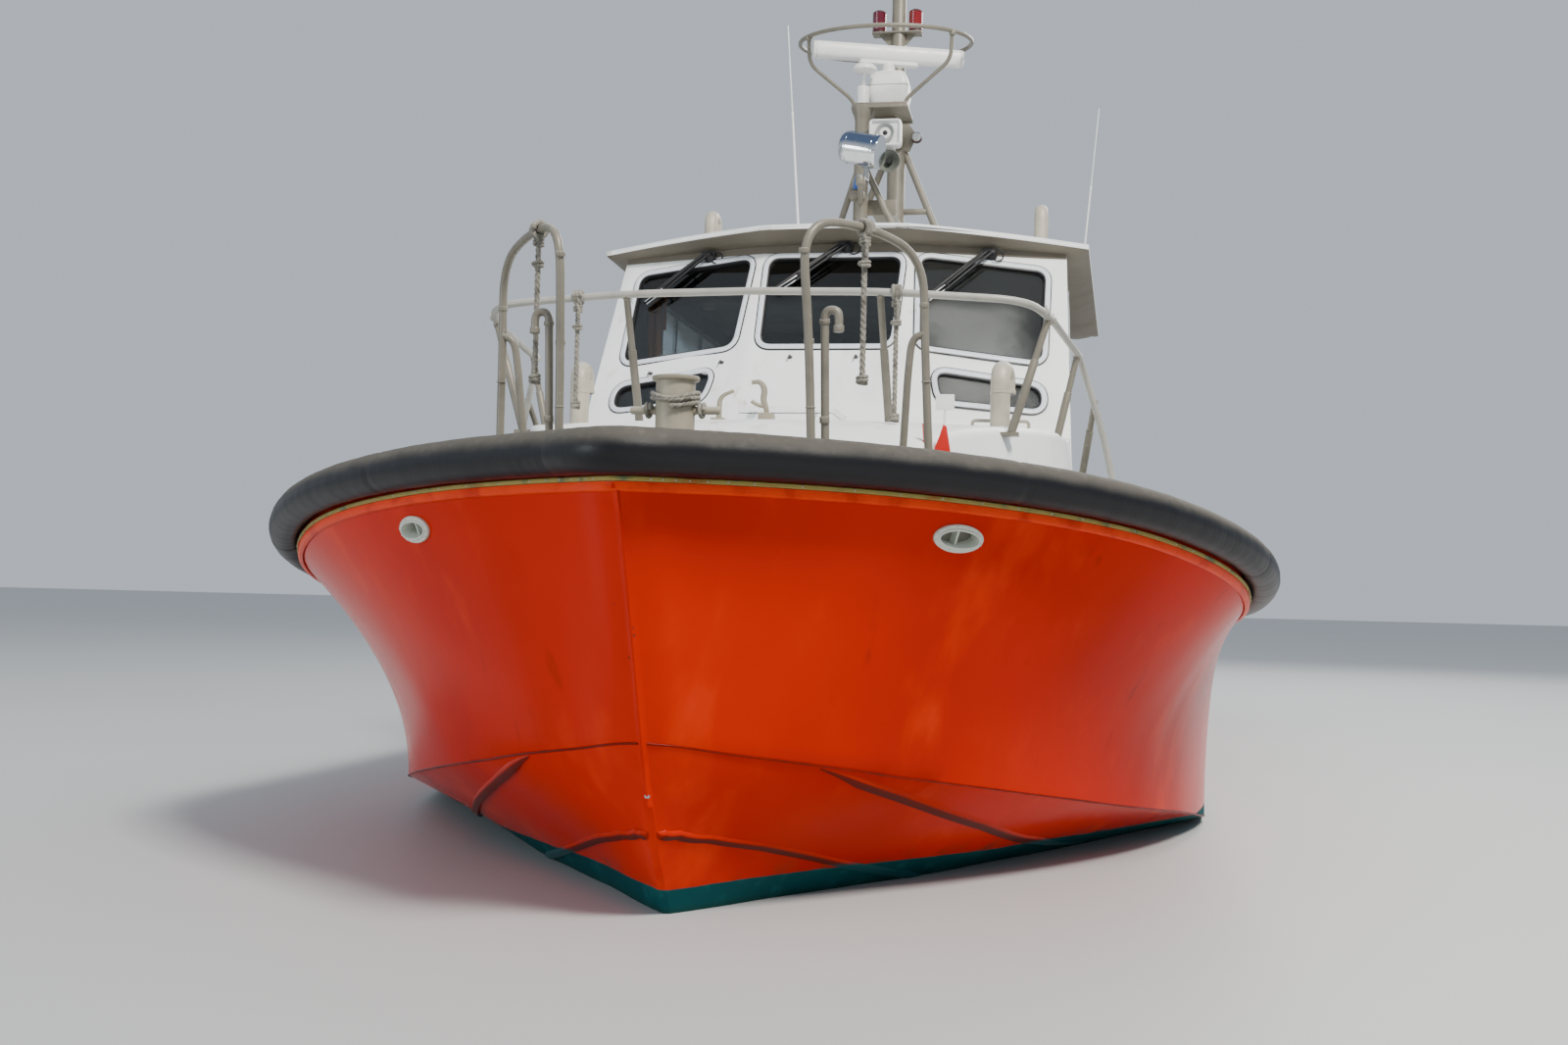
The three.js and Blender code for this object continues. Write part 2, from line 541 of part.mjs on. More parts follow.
function roofPoint(across, along) {
  const half = THREE.MathUtils.lerp(ROOF_PLAN.cornerHalf, ROOF_PLAN.backHalf, along);
  const sweep = Math.max(Math.abs(across) - 0.29, 0) / 0.71;
  const front = THREE.MathUtils.lerp(ROOF_PLAN.frontAft, ROOF_PLAN.cornerAft, sweep);
  const y = THREE.MathUtils.lerp(front, ROOF_PLAN.backAft, along);
  const edge = Math.abs(across) === 1 || along === 0 || along === 1;
  return { x: across * half, y, z: ROOF_EDGE_UP + ROOF.camber * (1 - across * across), edge };
}

function roofSlab(bottomDrop, top) {
  const rings = ROOF_ALONG.map((along) => {
    const points = ROOF_ACROSS.map((across) => roofPoint(across, along));
    const upper = points.map((p) => [p.x, p.y, p.z + top]);
    const lower = points.map((p) => [p.x, p.y, p.z - bottomDrop - (p.edge ? ROOF.lip : 0)]);
    return [...upper, ...lower.reverse()];
  });
  return loft(rings);
}

const ROOF_SOLID = roofSlab(ROOF.thick, 0);
const ROOF_BELOW = roofSlab(ROOF.thick + GAP, 900);
const ROOF_ABOVE = roofSlab(900, GAP);

// Windows: outlines on the front in X and Z, on the sides in Y and Z
const FRONT_WINDOWS = {
  centre: [[-490, 3340], [490, 3340], [515, 4085], [-515, 4085]],
  port: [[700, 3335], [1590, 3235], [1600, 4000], [655, 4090]],
  low_port: [[880, 2905], [1600, 2850], [1590, 3030], [830, 3130]],
};
const SIDE_WINDOW = [5900, 8800];
const SIDE_WINDOW_UP = [3250, 3980];
const GLASS = { depth: 22, thick: 8 };
const flipX = (outline) => outline.map(([x, z]) => [-x, z]);
const frontOutlines = [
  FRONT_WINDOWS.centre, FRONT_WINDOWS.port, flipX(FRONT_WINDOWS.port),
  FRONT_WINDOWS.low_port, flipX(FRONT_WINDOWS.low_port),
].map((outline) => rounded(outline, 90));
const [sideFore, sideAft] = SIDE_WINDOW;
const [sideLow, sideTop] = SIDE_WINDOW_UP;
const sideOutline = rounded(
  [[sideFore, sideLow], [sideAft, sideLow], [sideAft, sideTop], [sideFore, sideTop]], 90);
const backOutlines = [[-1400, -620], [620, 1400]].map(([left, right]) => (
  rounded([[left, 3250], [right, 3250], [right, 3950], [left, 3950]], 90)));
const FRONT_REACH = [3000, 5600];
const frontHoles = frontOutlines.map((outline) => pushedAft(outline, ...FRONT_REACH));
const sideHole = pushedToPort(sideOutline, 0, 2500);
const backHoles = backOutlines.map((outline) => pushedAft(outline, 9000, 9300));
const doorHole = block(DOOR.left, DOOR.right, 9000, 9300, DOOR.bottom, DOOR.top);

const houseShell = cut(cut(houseBody(0), houseBody(HOUSE.wall)), HULL_CUTTER, TRUNK_CUTTER, ROOF_BELOW);

// The shell split where its panels meet
function slantedBlock(y0, y1, x0, x1) {
  const ring = (up) => {
    const shift = HOUSE.rake * (up - HOUSE.faceUp);
    return [[x0, y0 + shift, up], [x1, y0 + shift, up], [x1, y1, up], [x0, y1, up]];
  };
  return loft([ring(HOUSE_LOW - 50), ring(HOUSE_HIGH + 50)]);
}
const FRONT_SEAM = HOUSE.faceAft + HOUSE.sweep + 70;
const sidesRegion = (x0, x1, y1) => slantedBlock(FRONT_SEAM + GAP, y1, x0, x1);
const behindFront = slantedBlock(FRONT_SEAM, 12000, -4000, 4000);
const BACK_SEAM = HOUSE.aftWall - HOUSE.wall - 20;
const frontPanel = largest(cut(houseShell, behindFront, ...frontHoles));
const portPanel = largest(cut(houseShell.intersect(sidesRegion(0, 4000, BACK_SEAM)), sideHole));
const behindSeam = block(-4000, 4000, BACK_SEAM + GAP, 9400, 0, 5000);
const backPanel = cut(houseShell.intersect(behindSeam), doorHole, ...backHoles);
const doorHinges = [2650, 3650].map((up) => hinge(
  [DOOR.left - 14, HOUSE.aftWall + 18, up], [0, 0, 1], [1, 0, 0], 70, [0, -1, 0], 30));

piece("wheelhouse_front", "white", frontPanel);
pair("wheelhouse", "white", portPanel);
piece("wheelhouse_aft", "white", join(backPanel, ...doorHinges.map((h) => h.fixed)));
piece("wheelhouse_roof", "white", ROOF_SOLID);

const glassLayer = cut(houseBody(GLASS.depth), houseBody(GLASS.depth + GLASS.thick));
const frontPane = (outline) => (
  pushedAft(inset(rounded(outline, 90), GAP), ...FRONT_REACH).intersect(glassLayer));
piece("glass_front_centre", "glass", frontPane(FRONT_WINDOWS.centre));
pair("glass_front", "glass", frontPane(FRONT_WINDOWS.port));
pair("glass_low", "glass", frontPane(FRONT_WINDOWS.low_port));
pair("glass_side", "glass", pushedToPort(inset(sideOutline, GAP), 0, 2500).intersect(glassLayer));
pair("glass_aft", "glass", pushedAft(inset(backOutlines[1], GAP), 9000, 9300).intersect(glassLayer));

// Aft door: a leaf with a window, clear of its frame, on two hinges
const DOOR_CLEAR = 6;
const doorWindow = rounded([[-230, 3250], [230, 3250], [230, 3850], [-230, 3850]], 60);
const leafY = [HOUSE.aftWall - 20, HOUSE.aftWall - 20 + DOOR.thick];
const leafX = [DOOR.left + DOOR_CLEAR, DOOR.right - DOOR_CLEAR];
const leafUp = [DOOR.bottom + DOOR_CLEAR, DOOR.top - DOOR_CLEAR];
const doorLeaf = cut(block(...leafX, ...leafY, ...leafUp), pushedAft(doorWindow, 9000, 9300));
const doorHandle = join(
  rod([300, leafY[1] - 2, 3150], [300, leafY[1] + 50, 3150], 12, 8),
  rod([300, leafY[1] + 45, 3165], [300, leafY[1] + 45, 3010], 10, 8),
);
piece("wheelhouse_door", "white", join(doorLeaf, doorHandle, ...doorHinges.map((h) => h.moving)));
piece("door_glass", "glass", pushedAft(inset(doorWindow, GAP), leafY[0] + 18, leafY[0] + 26));

// Inside: the sole with two seats on it, and the helm console with its wheel
const SOLE = { half: 1755, fore: TRUNK_END + 2 * GAP, aft: 9080, low: 1000 };
const soleBlock = block(-SOLE.half, SOLE.half, SOLE.fore, SOLE.aft, SOLE.low, SOLE_UP);
const sole = cut(soleBlock, HULL_CUTTER, TRUNK_CUTTER);
const seat = (x) => join(
  rod([x, 6350, SOLE_UP - 20], [x, 6350, SOLE_UP + 520], 60, 10),
  block(x - 250, x + 250, 6100, 6600, SOLE_UP + 510, SOLE_UP + 620),
  block(x - 240, x + 240, 6540, 6640, SOLE_UP + 600, SOLE_UP + 1250),
);
piece("wheelhouse_sole", "beige", join(sole, bothSides(seat(450))));
const consoleProfile = [
  [5000, SOLE_UP + GAP], [5450, SOLE_UP + GAP], [5450, 3080], [5250, 3200], [5000, 3220],
];
const HELM = { x: 450, y: 5560, up: 3120, radius: 210, tilt: Math.PI / 2 - 0.35 };
const helmRing = new THREE.TorusGeometry(HELM.radius, 14, 6, 16).rotateX(HELM.tilt);
const helmWheel = toSolid(helmRing.translate(HELM.x, HELM.y, HELM.up));
const helmShaft = rod([HELM.x, 5400, 3060], [HELM.x, HELM.y, HELM.up], 16, 6);
const helmSpoke = rod([HELM.x - 200, HELM.y, HELM.up], [HELM.x + 200, HELM.y, HELM.up], 8, 6);
const consoleBody = pushedToPort(consoleProfile, -1500, 1500);
piece("helm_console", "dark", join(consoleBody, helmWheel, helmShaft, helmSpoke));

// Bow rail: a bar across the foredeck that bends aft and comes down to the side decks
const RAIL_CORNER = [1690, 2100, 3120];
const RAIL_ELBOW = [1860, 3400, 3085];
const portRail = bentTube([[-10, 1650, 3215], [740, 1680, 3210], [1560, 1720, 3160], RAIL_CORNER, RAIL_ELBOW,
  [2040, 3600, 2530], [2250, 3750, 1400]], RAIL_RADIUS, 200);
const railPosts = [
  rod([740, 1680, 3205], [760, 2180, 2380], 20),
  rod([1672, 2080, 3115], [1440, 2040, 2350], 20),
  rod([1842, 3260, 3085], [1690, 3240, 2400], 20),
  rod([1962, 3510, 2820], [1880, 3900, 2300], 20),
];
piece("bow_rail", "beige", cut(bothSides(join(portRail, ...railPosts)), ...FIXED_TOP_CUTTERS));

// Boarding hoops beside the bitt, each with a brace
const hoop = bentTube([
  [625, 175, 1800], [605, 80, 2650], [580, -55, 3225], [860, 310, 3262],
  [1085, 570, 3165], [1095, 620, 2760], [1135, 740, 1800],
], 21, 230);
const hoopBrace = rod([1094, 615, 2790], [960, 780, 1800], 19);
const hoopCollars = [
  rod([603, 70, 2640], [593, 28, 2740], 28),
  rod([1093, 611, 2850], [1095, 618, 2760], 28),
];
pair("boarding_hoop", "beige", join(hoop, hoopBrace, ...hoopCollars), ...FIXED_TOP_CUTTERS);

// Bitt on the foredeck with its cross pin
const BITT = { y: -40, radius: 92, top: 2495, pinUp: 2335, pinHalf: 215 };
const bitt = join(
  rod([0, BITT.y, 1900], [0, BITT.y, BITT.top - 30], BITT.radius, 16),
  rod([0, BITT.y, BITT.top - 45], [0, BITT.y, BITT.top - 20], BITT.radius, 16, 112),
  rod([0, BITT.y, BITT.top - 20], [0, BITT.y, BITT.top], 112, 16),
  rod([-BITT.pinHalf, BITT.y, BITT.pinUp], [BITT.pinHalf, BITT.y, BITT.pinUp], 15, 8),
);
piece("bow_bitt", "beige", cut(bitt, HULL_CUTTER));

const roofVent = bentTube(
  [[1510, 7160, 4100], [1510, 7165, 4975], [1510, 7345, 4975], [1510, 7345, 4850]], 62, 95, 10);
piece("roof_vent", "beige", cut(roofVent, ROOF_ABOVE));
piece("roof_vent_starboard", "beige", cut(mirrored(roofVent), ROOF_ABOVE));

// Mast on the wheelhouse roof: a front post and a taller rear pole, each on splayed legs
const ROOF_FOOT = 4000;
const LEG_FEET = { frontLeft: -545, frontRight: 475, rearLeft: -665, rearRight: 822 };
const DECK_PLATE = { thick: 24, x0: -215, x1: 275, y0: 7275, y1: 7830 };
const MASTHEAD = {
  plateUp: 7080, plateThick: 15, x0: -205, x1: 285, lampX: [-142, 220], lampRadius: 68, lampTop: 7315,
};
const deckPlate = block(
  DECK_PLATE.x0, DECK_PLATE.x1, DECK_PLATE.y0, DECK_PLATE.y1, RADAR.deck - DECK_PLATE.thick, RADAR.deck);
const mastheadPlate = block(
  MASTHEAD.x0, MASTHEAD.x1, REAR_POLE.y - 80, REAR_POLE.y + 80,
  MASTHEAD.plateUp - MASTHEAD.plateThick, MASTHEAD.plateUp);
const post = (up) => [FRONT_POST.x, FRONT_POST.y, up];
const pole = (up) => [REAR_POLE.x, REAR_POLE.y, up];
const lightArmUp = 5195;
const mastParts = [
  rod(post(ROOF_FOOT), post(FRONT_POST.top), FRONT_POST.radius, 12),
  rod(post(FRONT_POST.top - 95), post(FRONT_POST.top), FRONT_POST.radius, 12, 105),
  rod(post(5520), [LEG_FEET.frontLeft, FRONT_POST.y, ROOF_FOOT], 30),
  rod(post(5520), [LEG_FEET.frontRight, FRONT_POST.y, ROOF_FOOT], 30),
  rod(pole(ROOF_FOOT), pole(REAR_POLE.waist), REAR_POLE.radius, 14),
  rod(pole(REAR_POLE.waist - 40), pole(REAR_POLE.top), REAR_POLE.upperRadius, 12),
  rod(pole(6080), [LEG_FEET.rearLeft, REAR_POLE.y, ROOF_FOOT], 34),
  rod(pole(6080), [LEG_FEET.rearRight, REAR_POLE.y, ROOF_FOOT], 34),
  rod(pole(5286), [360, REAR_POLE.y, 5286], 30),
  block(-107, 175, 7418, 7440, 5012, 5155),
  block(-50, 130, 7430, REAR_POLE.y, 5030, 5140),
  deckPlate,
  block(-20, 120, 7700, REAR_POLE.y, RADAR.deck - 130, RADAR.deck - 20),
  block(-75, 130, 7650, 7700, 5560, RADAR.deck - 20),
  block(-145, 175, 7281, 7310, 5420, 5780),
  pushedAft([[60, 6330], [262, 6030], [190, 5870], [60, 5900]], REAR_POLE.y - 60, REAR_POLE.y - 48),
  mastheadPlate,
  pushedAft([[-150, 7070], [230, 7070], [130, 6960], [-40, 6960]], REAR_POLE.y - 8, REAR_POLE.y + 8),
  rod(post(lightArmUp - 110), [LIGHT.x, LIGHT.y, lightArmUp], 26),
  rod([LIGHT.x, LIGHT.y, lightArmUp - 30], [LIGHT.x, LIGHT.y, lightArmUp + 35], 44, 12),
];
const redLamps = MASTHEAD.lampX.map((x) => (
  rod([x, REAR_POLE.y, MASTHEAD.plateUp - 5], [x, REAR_POLE.y, MASTHEAD.lampTop], MASTHEAD.lampRadius, 12)));
const topLamp = rod(pole(REAR_POLE.top - 5), pole(REAR_POLE.top + 130), 60, 12);
const BLUE_LAMP = { x: -160, y: 7225, low: 5195, high: 5335, radius: 44 };
const SIDE_LAMP = { x: 262, y: REAR_POLE.y - 55, up: 6000, radius: 52, length: 90 };
const blueLampAt = (up) => [BLUE_LAMP.x, BLUE_LAMP.y, up];
const sideLampAt = (ahead) => [SIDE_LAMP.x, SIDE_LAMP.y - ahead, SIDE_LAMP.up];
const sideLamps = [
  block(-232, -100, 7185, FRONT_POST.y, BLUE_LAMP.low - 70, BLUE_LAMP.low),
  rod(blueLampAt(BLUE_LAMP.low - 5), blueLampAt(BLUE_LAMP.high), BLUE_LAMP.radius, 12, 22),
  rod(sideLampAt(0), sideLampAt(SIDE_LAMP.length), SIDE_LAMP.radius, 12),
];
piece("mast", "beige", cut(join(...mastParts, ...redLamps, topLamp, ...sideLamps), ROOF_ABOVE));

// Guard ring round the radar, tilted down at its front, on two arms from the deck plate
const ringTurn = THREE.MathUtils.degToRad(RADAR_RING.tilt);
const ringGeometry = new THREE.TorusGeometry(RADAR_RING.radius, RADAR_RING.tube, 6, 28);
ringGeometry.rotateX(ringTurn).translate(RADAR_RING.x, RADAR.y, RADAR_RING.up);
const ringPoint = (degrees) => {
  const angle = THREE.MathUtils.degToRad(degrees);
  const ahead = RADAR_RING.radius * Math.cos(angle);
  return [RADAR_RING.x + RADAR_RING.radius * Math.sin(angle), RADAR.y - ahead * Math.cos(ringTurn),
    RADAR_RING.up - ahead * Math.sin(ringTurn)];
};
const guardArm = (degrees, bendX, footX) => bentTube([
  ringPoint(degrees), [bendX, ringPoint(degrees)[1] + 60, 6370],
  [footX, 7340, 6075], [footX * 0.93, 7350, 5990],
], 18, 90, 6);
const guard = join(toSolid(ringGeometry), guardArm(-55, -622, -238), guardArm(55, 676, 262));
const belowDeckPlate = block(-900, 900, 7000, 7900, RADAR.deck - 60, RADAR.deck + GAP);
piece("radar_guard", "beige", cut(guard, belowDeckPlate));

const GEARBOX = { x: 75, halfX: 195, halfY: 180, top: 340, neck: 378, neckRadius: 75 };
const GEARBOX_RINGS = [
  { up: GAP, wide: 0.88, deep: 0.86 },
  { up: 70, wide: 0.93, deep: 0.95 },
  { up: 200, wide: 1, deep: 1 },
  { up: GEARBOX.top, wide: 0.78, deep: 0.82 },
];
const aboveRadarDeck = (up) => [RADAR.x, RADAR.y, RADAR.deck + up];
piece("radar_gearbox", "white", join(
  loft(GEARBOX_RINGS.map(({ up, wide, deep }) => {
    const [x, y] = [GEARBOX.halfX * wide, GEARBOX.halfY * deep];
    const corners = rounded([[-x, -y], [x, -y], [x, y], [-x, y]], 60);
    return corners.map(([px, py]) => [GEARBOX.x + px, RADAR.y + py, RADAR.deck + up]);
  })),
  rod(aboveRadarDeck(GEARBOX.top - 10), aboveRadarDeck(GEARBOX.neck), GEARBOX.neckRadius, 12),
));

const radarGroup = new THREE.Group();
radarGroup.position.set(RADAR.x, RADAR.y, 0);
radarGroup.rotation.z = THREE.MathUtils.degToRad(RADAR.turn);
boat.add(radarGroup);
const ARRAY_SECTION = [
  [-0.5, -0.28], [-0.5, 0.28], [-0.3, 0.5], [0.3, 0.5], [0.5, 0.28], [0.5, -0.28], [0.3, -0.5], [-0.3, -0.5],
];
const arrayRing = (x, size) => ARRAY_SECTION.map(([y, z]) => (
  [x, y * RADAR.depth * size, RADAR.up + z * RADAR.height * size]));
const arrayHalf = RADAR.length / 2;
const arrayFoot = RADAR.up - RADAR.height / 2;
const arrayEnds = [[-arrayHalf, 0.86], [12 - arrayHalf, 1], [arrayHalf - 12, 1], [arrayHalf, 0.86]];
piece("radar_array", "white", join(
  loft(arrayEnds.map(([x, size]) => arrayRing(x, size))),
  block(-280, 280, -45, 45, arrayFoot - 22, arrayFoot + 10),
  rod([0, 0, RADAR.deck + GEARBOX.neck + GAP], [0, 0, arrayFoot - 10], 60, 12),
), radarGroup);

// Searchlight: a one-armed yoke that pans on its post, and a drum that tilts on the arm
const lightGroup = new THREE.Group();
lightGroup.position.set(LIGHT.x, LIGHT.y, LIGHT.up);
lightGroup.rotation.z = THREE.MathUtils.degToRad(LIGHT.turn);
boat.add(lightGroup);
const drumGroup = new THREE.Group();
drumGroup.rotation.x = THREE.MathUtils.degToRad(LIGHT.tilt);
lightGroup.add(drumGroup);
const yokeArm = LIGHT.radius + 22;
const yokeFoot = lightArmUp + 35 + GAP - LIGHT.up;
piece("searchlight_yoke", "steel", join(
  rod([0, 0, yokeFoot], [0, 0, yokeFoot + 18], 42, 12),
  block(-30, yokeArm + 12, -26, 26, yokeFoot + 4, yokeFoot + 16),
  block(yokeArm, yokeArm + 12, -26, 26, yokeFoot + 4, 34),
), lightGroup);
const drumHalf = LIGHT.length / 2;
piece("searchlight_drum", "chrome", join(
  rod([0, drumHalf - 40, 0], [0, -drumHalf, 0], LIGHT.radius - 6, 20),
  rod([0, 22 - drumHalf, 0], [0, -drumHalf - 8, 0], LIGHT.radius, 20),
  rod([0, drumHalf - 45, 0], [0, drumHalf + 12, 0], LIGHT.radius - 6, 20, LIGHT.radius - 48),
  rod([LIGHT.radius - 30, 0, 0], [yokeArm - GAP, 0, 0], 16, 8),
), drumGroup);

// Loudhailer and horn on their plate, the satellite dome on its can, and the whips
const SIGNAL_PLATE = { front: 7255, back: 7281 - GAP };
const HAILER = { x0: -56, x1: 238, front: 7150, low: 5588, high: 5838 };
const HORN = { x: 131, up: 5445, radius: 106, front: 7140 };
const DOME = { x: -143, shift: 20, y: 7340, forward: 55, can: 60, canTop: 6200, up: 6320, radius: 112 };
const hailerMouth = (y) => [(HAILER.x0 + HAILER.x1) / 2, y, (HAILER.low + HAILER.high) / 2];
piece("horn_and_hailer", "white", join(
  cut(
    block(HAILER.x0, HAILER.x1, HAILER.front, SIGNAL_PLATE.back, HAILER.low, HAILER.high),
    rod(hailerMouth(HAILER.front - 10), hailerMouth(HAILER.front + 70), 84, 16, 30),
  ),
  block(-20, 170, SIGNAL_PLATE.front, SIGNAL_PLATE.back, HORN.up - 40, HAILER.low + 40),
  rod([HORN.x, HORN.front, HORN.up], [HORN.x, SIGNAL_PLATE.back, HORN.up], HORN.radius, 16, 42),
));
const domeFoot = [DOME.x + DOME.shift, DOME.y - DOME.forward, DOME.up];
piece("satellite_dome", "white", join(
  rod([DOME.x, DOME.y, RADAR.deck + GAP], [DOME.x, DOME.y, DOME.canTop], DOME.can, 12),
  rod([DOME.x, DOME.y, DOME.canTop - 10], domeFoot, 15, 8),
  rod(domeFoot, [domeFoot[0], domeFoot[1], DOME.up + 70], DOME.radius, 14, DOME.radius - 45),
));
const whip = (foot, tip) => cut(rod(foot, tip, 14, 6, 6), ROOF_ABOVE);
piece("whip_starboard", "white", whip([-465, 6000, ROOF_FOOT], [-617, 6000, 6315]));
piece("whip_port", "white", whip([1840, 8800, ROOF_FOOT], [2025, 8800, 6370]));

// Wipers: a pivot box over each upper front window with an arm and a blade
const WIPERS = {
  wiper_starboard: { pivot: [-1010, 4110], tip: [-1450, 3720] },
  wiper_centre: { pivot: [90, 4150], tip: [-380, 3760] },
  wiper_port: { pivot: [1180, 4110], tip: [720, 3640] },
};
const houseFace = (x, up) => {
  const past = Math.max(Math.abs(x) - HOUSE.frontHalf, 0);
  return houseFront(up) + past * (HOUSE.sweep / (houseHalf(up) - HOUSE.frontHalf));
};
const facePoint = ([x, up], off) => [x, houseFace(x, up) - off, up];
for (const [name, { pivot, tip }] of Object.entries(WIPERS)) {
  const middle = [(pivot[0] + tip[0]) / 2, (pivot[1] + tip[1]) / 2];
  const bladeEnds = [-1, 1].map((end) => [tip[0] + end * 40, tip[1] + end * 190]);
  piece(name, "dark", cut(join(
    rod(facePoint(pivot, -40), facePoint(pivot, 70), 32, 8),
    rod(facePoint(pivot, 55), facePoint(middle, 60), 9, 6),
    rod(facePoint(middle, 60), facePoint(tip, 34), 9, 6),
    rod(facePoint(bladeEnds[0], 30), facePoint(bladeEnds[1], 30), 10, 6),
  ), moved(houseBody(0), 0, -GAP, 0), ROOF_BELOW));
}

// Hand ropes that hang from the hoops and the rail, and the turns of rope on the bitt
const ROPE = { radius: 11, step: 60 };
const HAND_ROPES = [
  { name: "hoop_rope_port", x: 832, y: 270, top: 3224.2, low: 2500 },
  { name: "hoop_rope_starboard", x: -765, y: 182, top: 3224.2, low: 2492 },
  { name: "rail_rope_port", x: 833, y: 1683, top: 3180.5, low: 2475 },
  { name: "rail_rope_starboard", x: -1035, y: 1697, top: 3169.1, low: 2545 },
];
const ropeSolid = ({ x, y, top, low }) => {
  const steps = Math.round((top - low) / ROPE.step);
  const line = new THREE.LineCurve3(new THREE.Vector3(x, y, top), new THREE.Vector3(x, y, low));
  const options = { steps, extrudePath: line, bevelEnabled: false };
  return toSolid(new THREE.ExtrudeGeometry(circleShape(ROPE.radius, 8), options));
};
for (const rope of HAND_ROPES) piece(rope.name, "rope", ropeSolid(rope));
const BITT_COIL = { inner: BITT.radius + 2, outer: BITT.radius + 27, low: 2352, high: 2424 };
const coilProfile = [
  [BITT_COIL.inner, BITT_COIL.low], [BITT_COIL.outer, BITT_COIL.low], [BITT_COIL.outer, BITT_COIL.high],
  [BITT_COIL.inner, BITT_COIL.high], [BITT_COIL.inner, BITT_COIL.low],
].map(([r, z]) => new THREE.Vector2(r, z));
const coil = toSolid(new THREE.LatheGeometry(coilProfile, 20).rotateX(Math.PI / 2));
piece("bitt_rope", "rope", moved(coil, 0, BITT.y, 0));

// Aft deck: a low engine casing with two hatches, a lazarette hatch and rails
const CASING = { half: 1200, fore: 9900, aft: 12900, top: 1950 };
const ENGINE_HATCH = {
  half: 1000, inner: 70, fore: 10200, aft: 12500, coaming: 40, top: 2000, lid: 45, seal: 6,
};
const casingBody = loft([CASING.fore, CASING.aft].map((y) => [[-CASING.half, y, 1200], [CASING.half, y, 1200],
  [CASING.half - 60, y, CASING.top], [-CASING.half + 60, y, CASING.top]]));
const engineCoaming = () => {
  const { inner, half, fore, aft, coaming, top } = ENGINE_HATCH;
  const outer = block(inner, half, fore, aft, CASING.top - 30, top);
  const well = block(inner + coaming, half - coaming, fore + coaming, aft - coaming, CASING.top, top + 100);
  return cut(outer, well);
};
const engineHingeAt = (y) => [ENGINE_HATCH.inner - HINGE_OUT, y, ENGINE_HATCH.top + HINGE_RISE];
const engineHinges = [10700, 12000].map((y) => (
  hinge(engineHingeAt(y), [0, 1, 0], [1, 0, 0], 60, [0, 0, -1], 120)));
const engineFixed = join(...engineHinges.map((h) => h.fixed));
const engineMoving = join(...engineHinges.map((h) => h.moving));
const casingTop = bothSides(join(engineCoaming(), engineFixed));
piece("engine_casing", "white", cut(join(casingBody, casingTop), HULL_CUTTER));
const engineLid = join(lidOn(ENGINE_HATCH, ENGINE_HATCH.inner, ENGINE_HATCH.half), engineMoving);
pair("engine_hatch", "white", engineLid);
piece("lazarette_hatch", "white", join(
  lidOn(LAZARETTE, -LAZARETTE.half, LAZARETTE.half), ...lazaretteHinges.map((h) => h.moving)));

const AFT_RAIL_UP = 2480;
const railHalfAt = (y) => THREE.MathUtils.mapLinear(y, 9400, 15700, 2740, 2540);
const STERN_RAIL_Y = 15720;
const aftRailPosts = [9700, 11200, 12700, 14200, 15500].map((y) => (
  rod([railHalfAt(y), y, 1400], [railHalfAt(y), y, AFT_RAIL_UP], 20)));
const quarter = railHalfAt(STERN_RAIL_Y);
const GATE_HALF = 600;
const MID_RAIL_UP = 1980;
const aftRail = join(
  bentTube([
    [railHalfAt(9400), 9400, 1400], [railHalfAt(9400), 9430, AFT_RAIL_UP],
    [quarter, STERN_RAIL_Y, AFT_RAIL_UP], [GATE_HALF, STERN_RAIL_Y, AFT_RAIL_UP],
    [GATE_HALF, STERN_RAIL_Y, 1400],
  ], 24, 130, 6, 2),
  bentTube([
    [railHalfAt(9430), 9430, MID_RAIL_UP], [quarter, STERN_RAIL_Y, MID_RAIL_UP],
    [GATE_HALF, STERN_RAIL_Y, MID_RAIL_UP],
  ], 16, 130, 6, 2),
  rod([1600, STERN_RAIL_Y, 1400], [1600, STERN_RAIL_Y, AFT_RAIL_UP], 20),
  ...aftRailPosts,
);
pair("aft_rail", "beige", aftRail, HULL_CUTTER);

// Stern: a low platform on brackets, propellers with their shafts, and rudders
const TRANSOM_Y = HULL_ROWS.at(-1).deck[0];
const PLATFORM = { half: 1700, deep: 450, low: 330, high: 375 };
const platformFore = TRANSOM_Y + GAP;
const gusset = [
  [platformFore, 60], [TRANSOM_Y + 30, 60],
  [TRANSOM_Y + 400, PLATFORM.low + 10], [platformFore, PLATFORM.low + 10],
];
piece("stern_platform", "steel", join(
  block(-PLATFORM.half, PLATFORM.half, platformFore, TRANSOM_Y + PLATFORM.deep, PLATFORM.low, PLATFORM.high),
  ...[-1400, -500, 500, 1400].map((x) => pushedToPort(gusset, x - 12, x + 12)),
));

const HUB_HALF = 95;
function blade(turn) {
  const ring = (radius, chord, pitch, thick) => {
    const angle = THREE.MathUtils.degToRad(pitch);
    return [[-0.5, 0], [0, -0.5], [0.5, 0], [0, 0.5]].map(([c, t]) => {
      const along = c * chord * Math.sin(angle) + t * thick * Math.cos(angle);
      const across = c * chord * Math.cos(angle) - t * thick * Math.sin(angle);
      return [radius, along, across];
    });
  };
  return loft([ring(40, 150, 58, 34), ring(150, 210, 44, 26), ring(270, 240, 32, 18), ring(350, 190, 26, 12),
    ring(PROPELLER.radius, 90, 24, 8)]).rotate([0, turn, 0]);
}
const propeller = join(
  rod([0, -HUB_HALF, 0], [0, HUB_HALF, 0], PROPELLER.hub, 14, PROPELLER.hub - 12),
  rod([0, HUB_HALF - 5, 0], [0, HUB_HALF + 70, 0], PROPELLER.hub - 14, 14, 20),
  rod([0, 5 - HUB_HALF, 0], [0, GAP - SHAFT.tubeFrom, 0], SHAFT.radius, 12),
  ...[0, 90, 180, 270].map(blade),
);
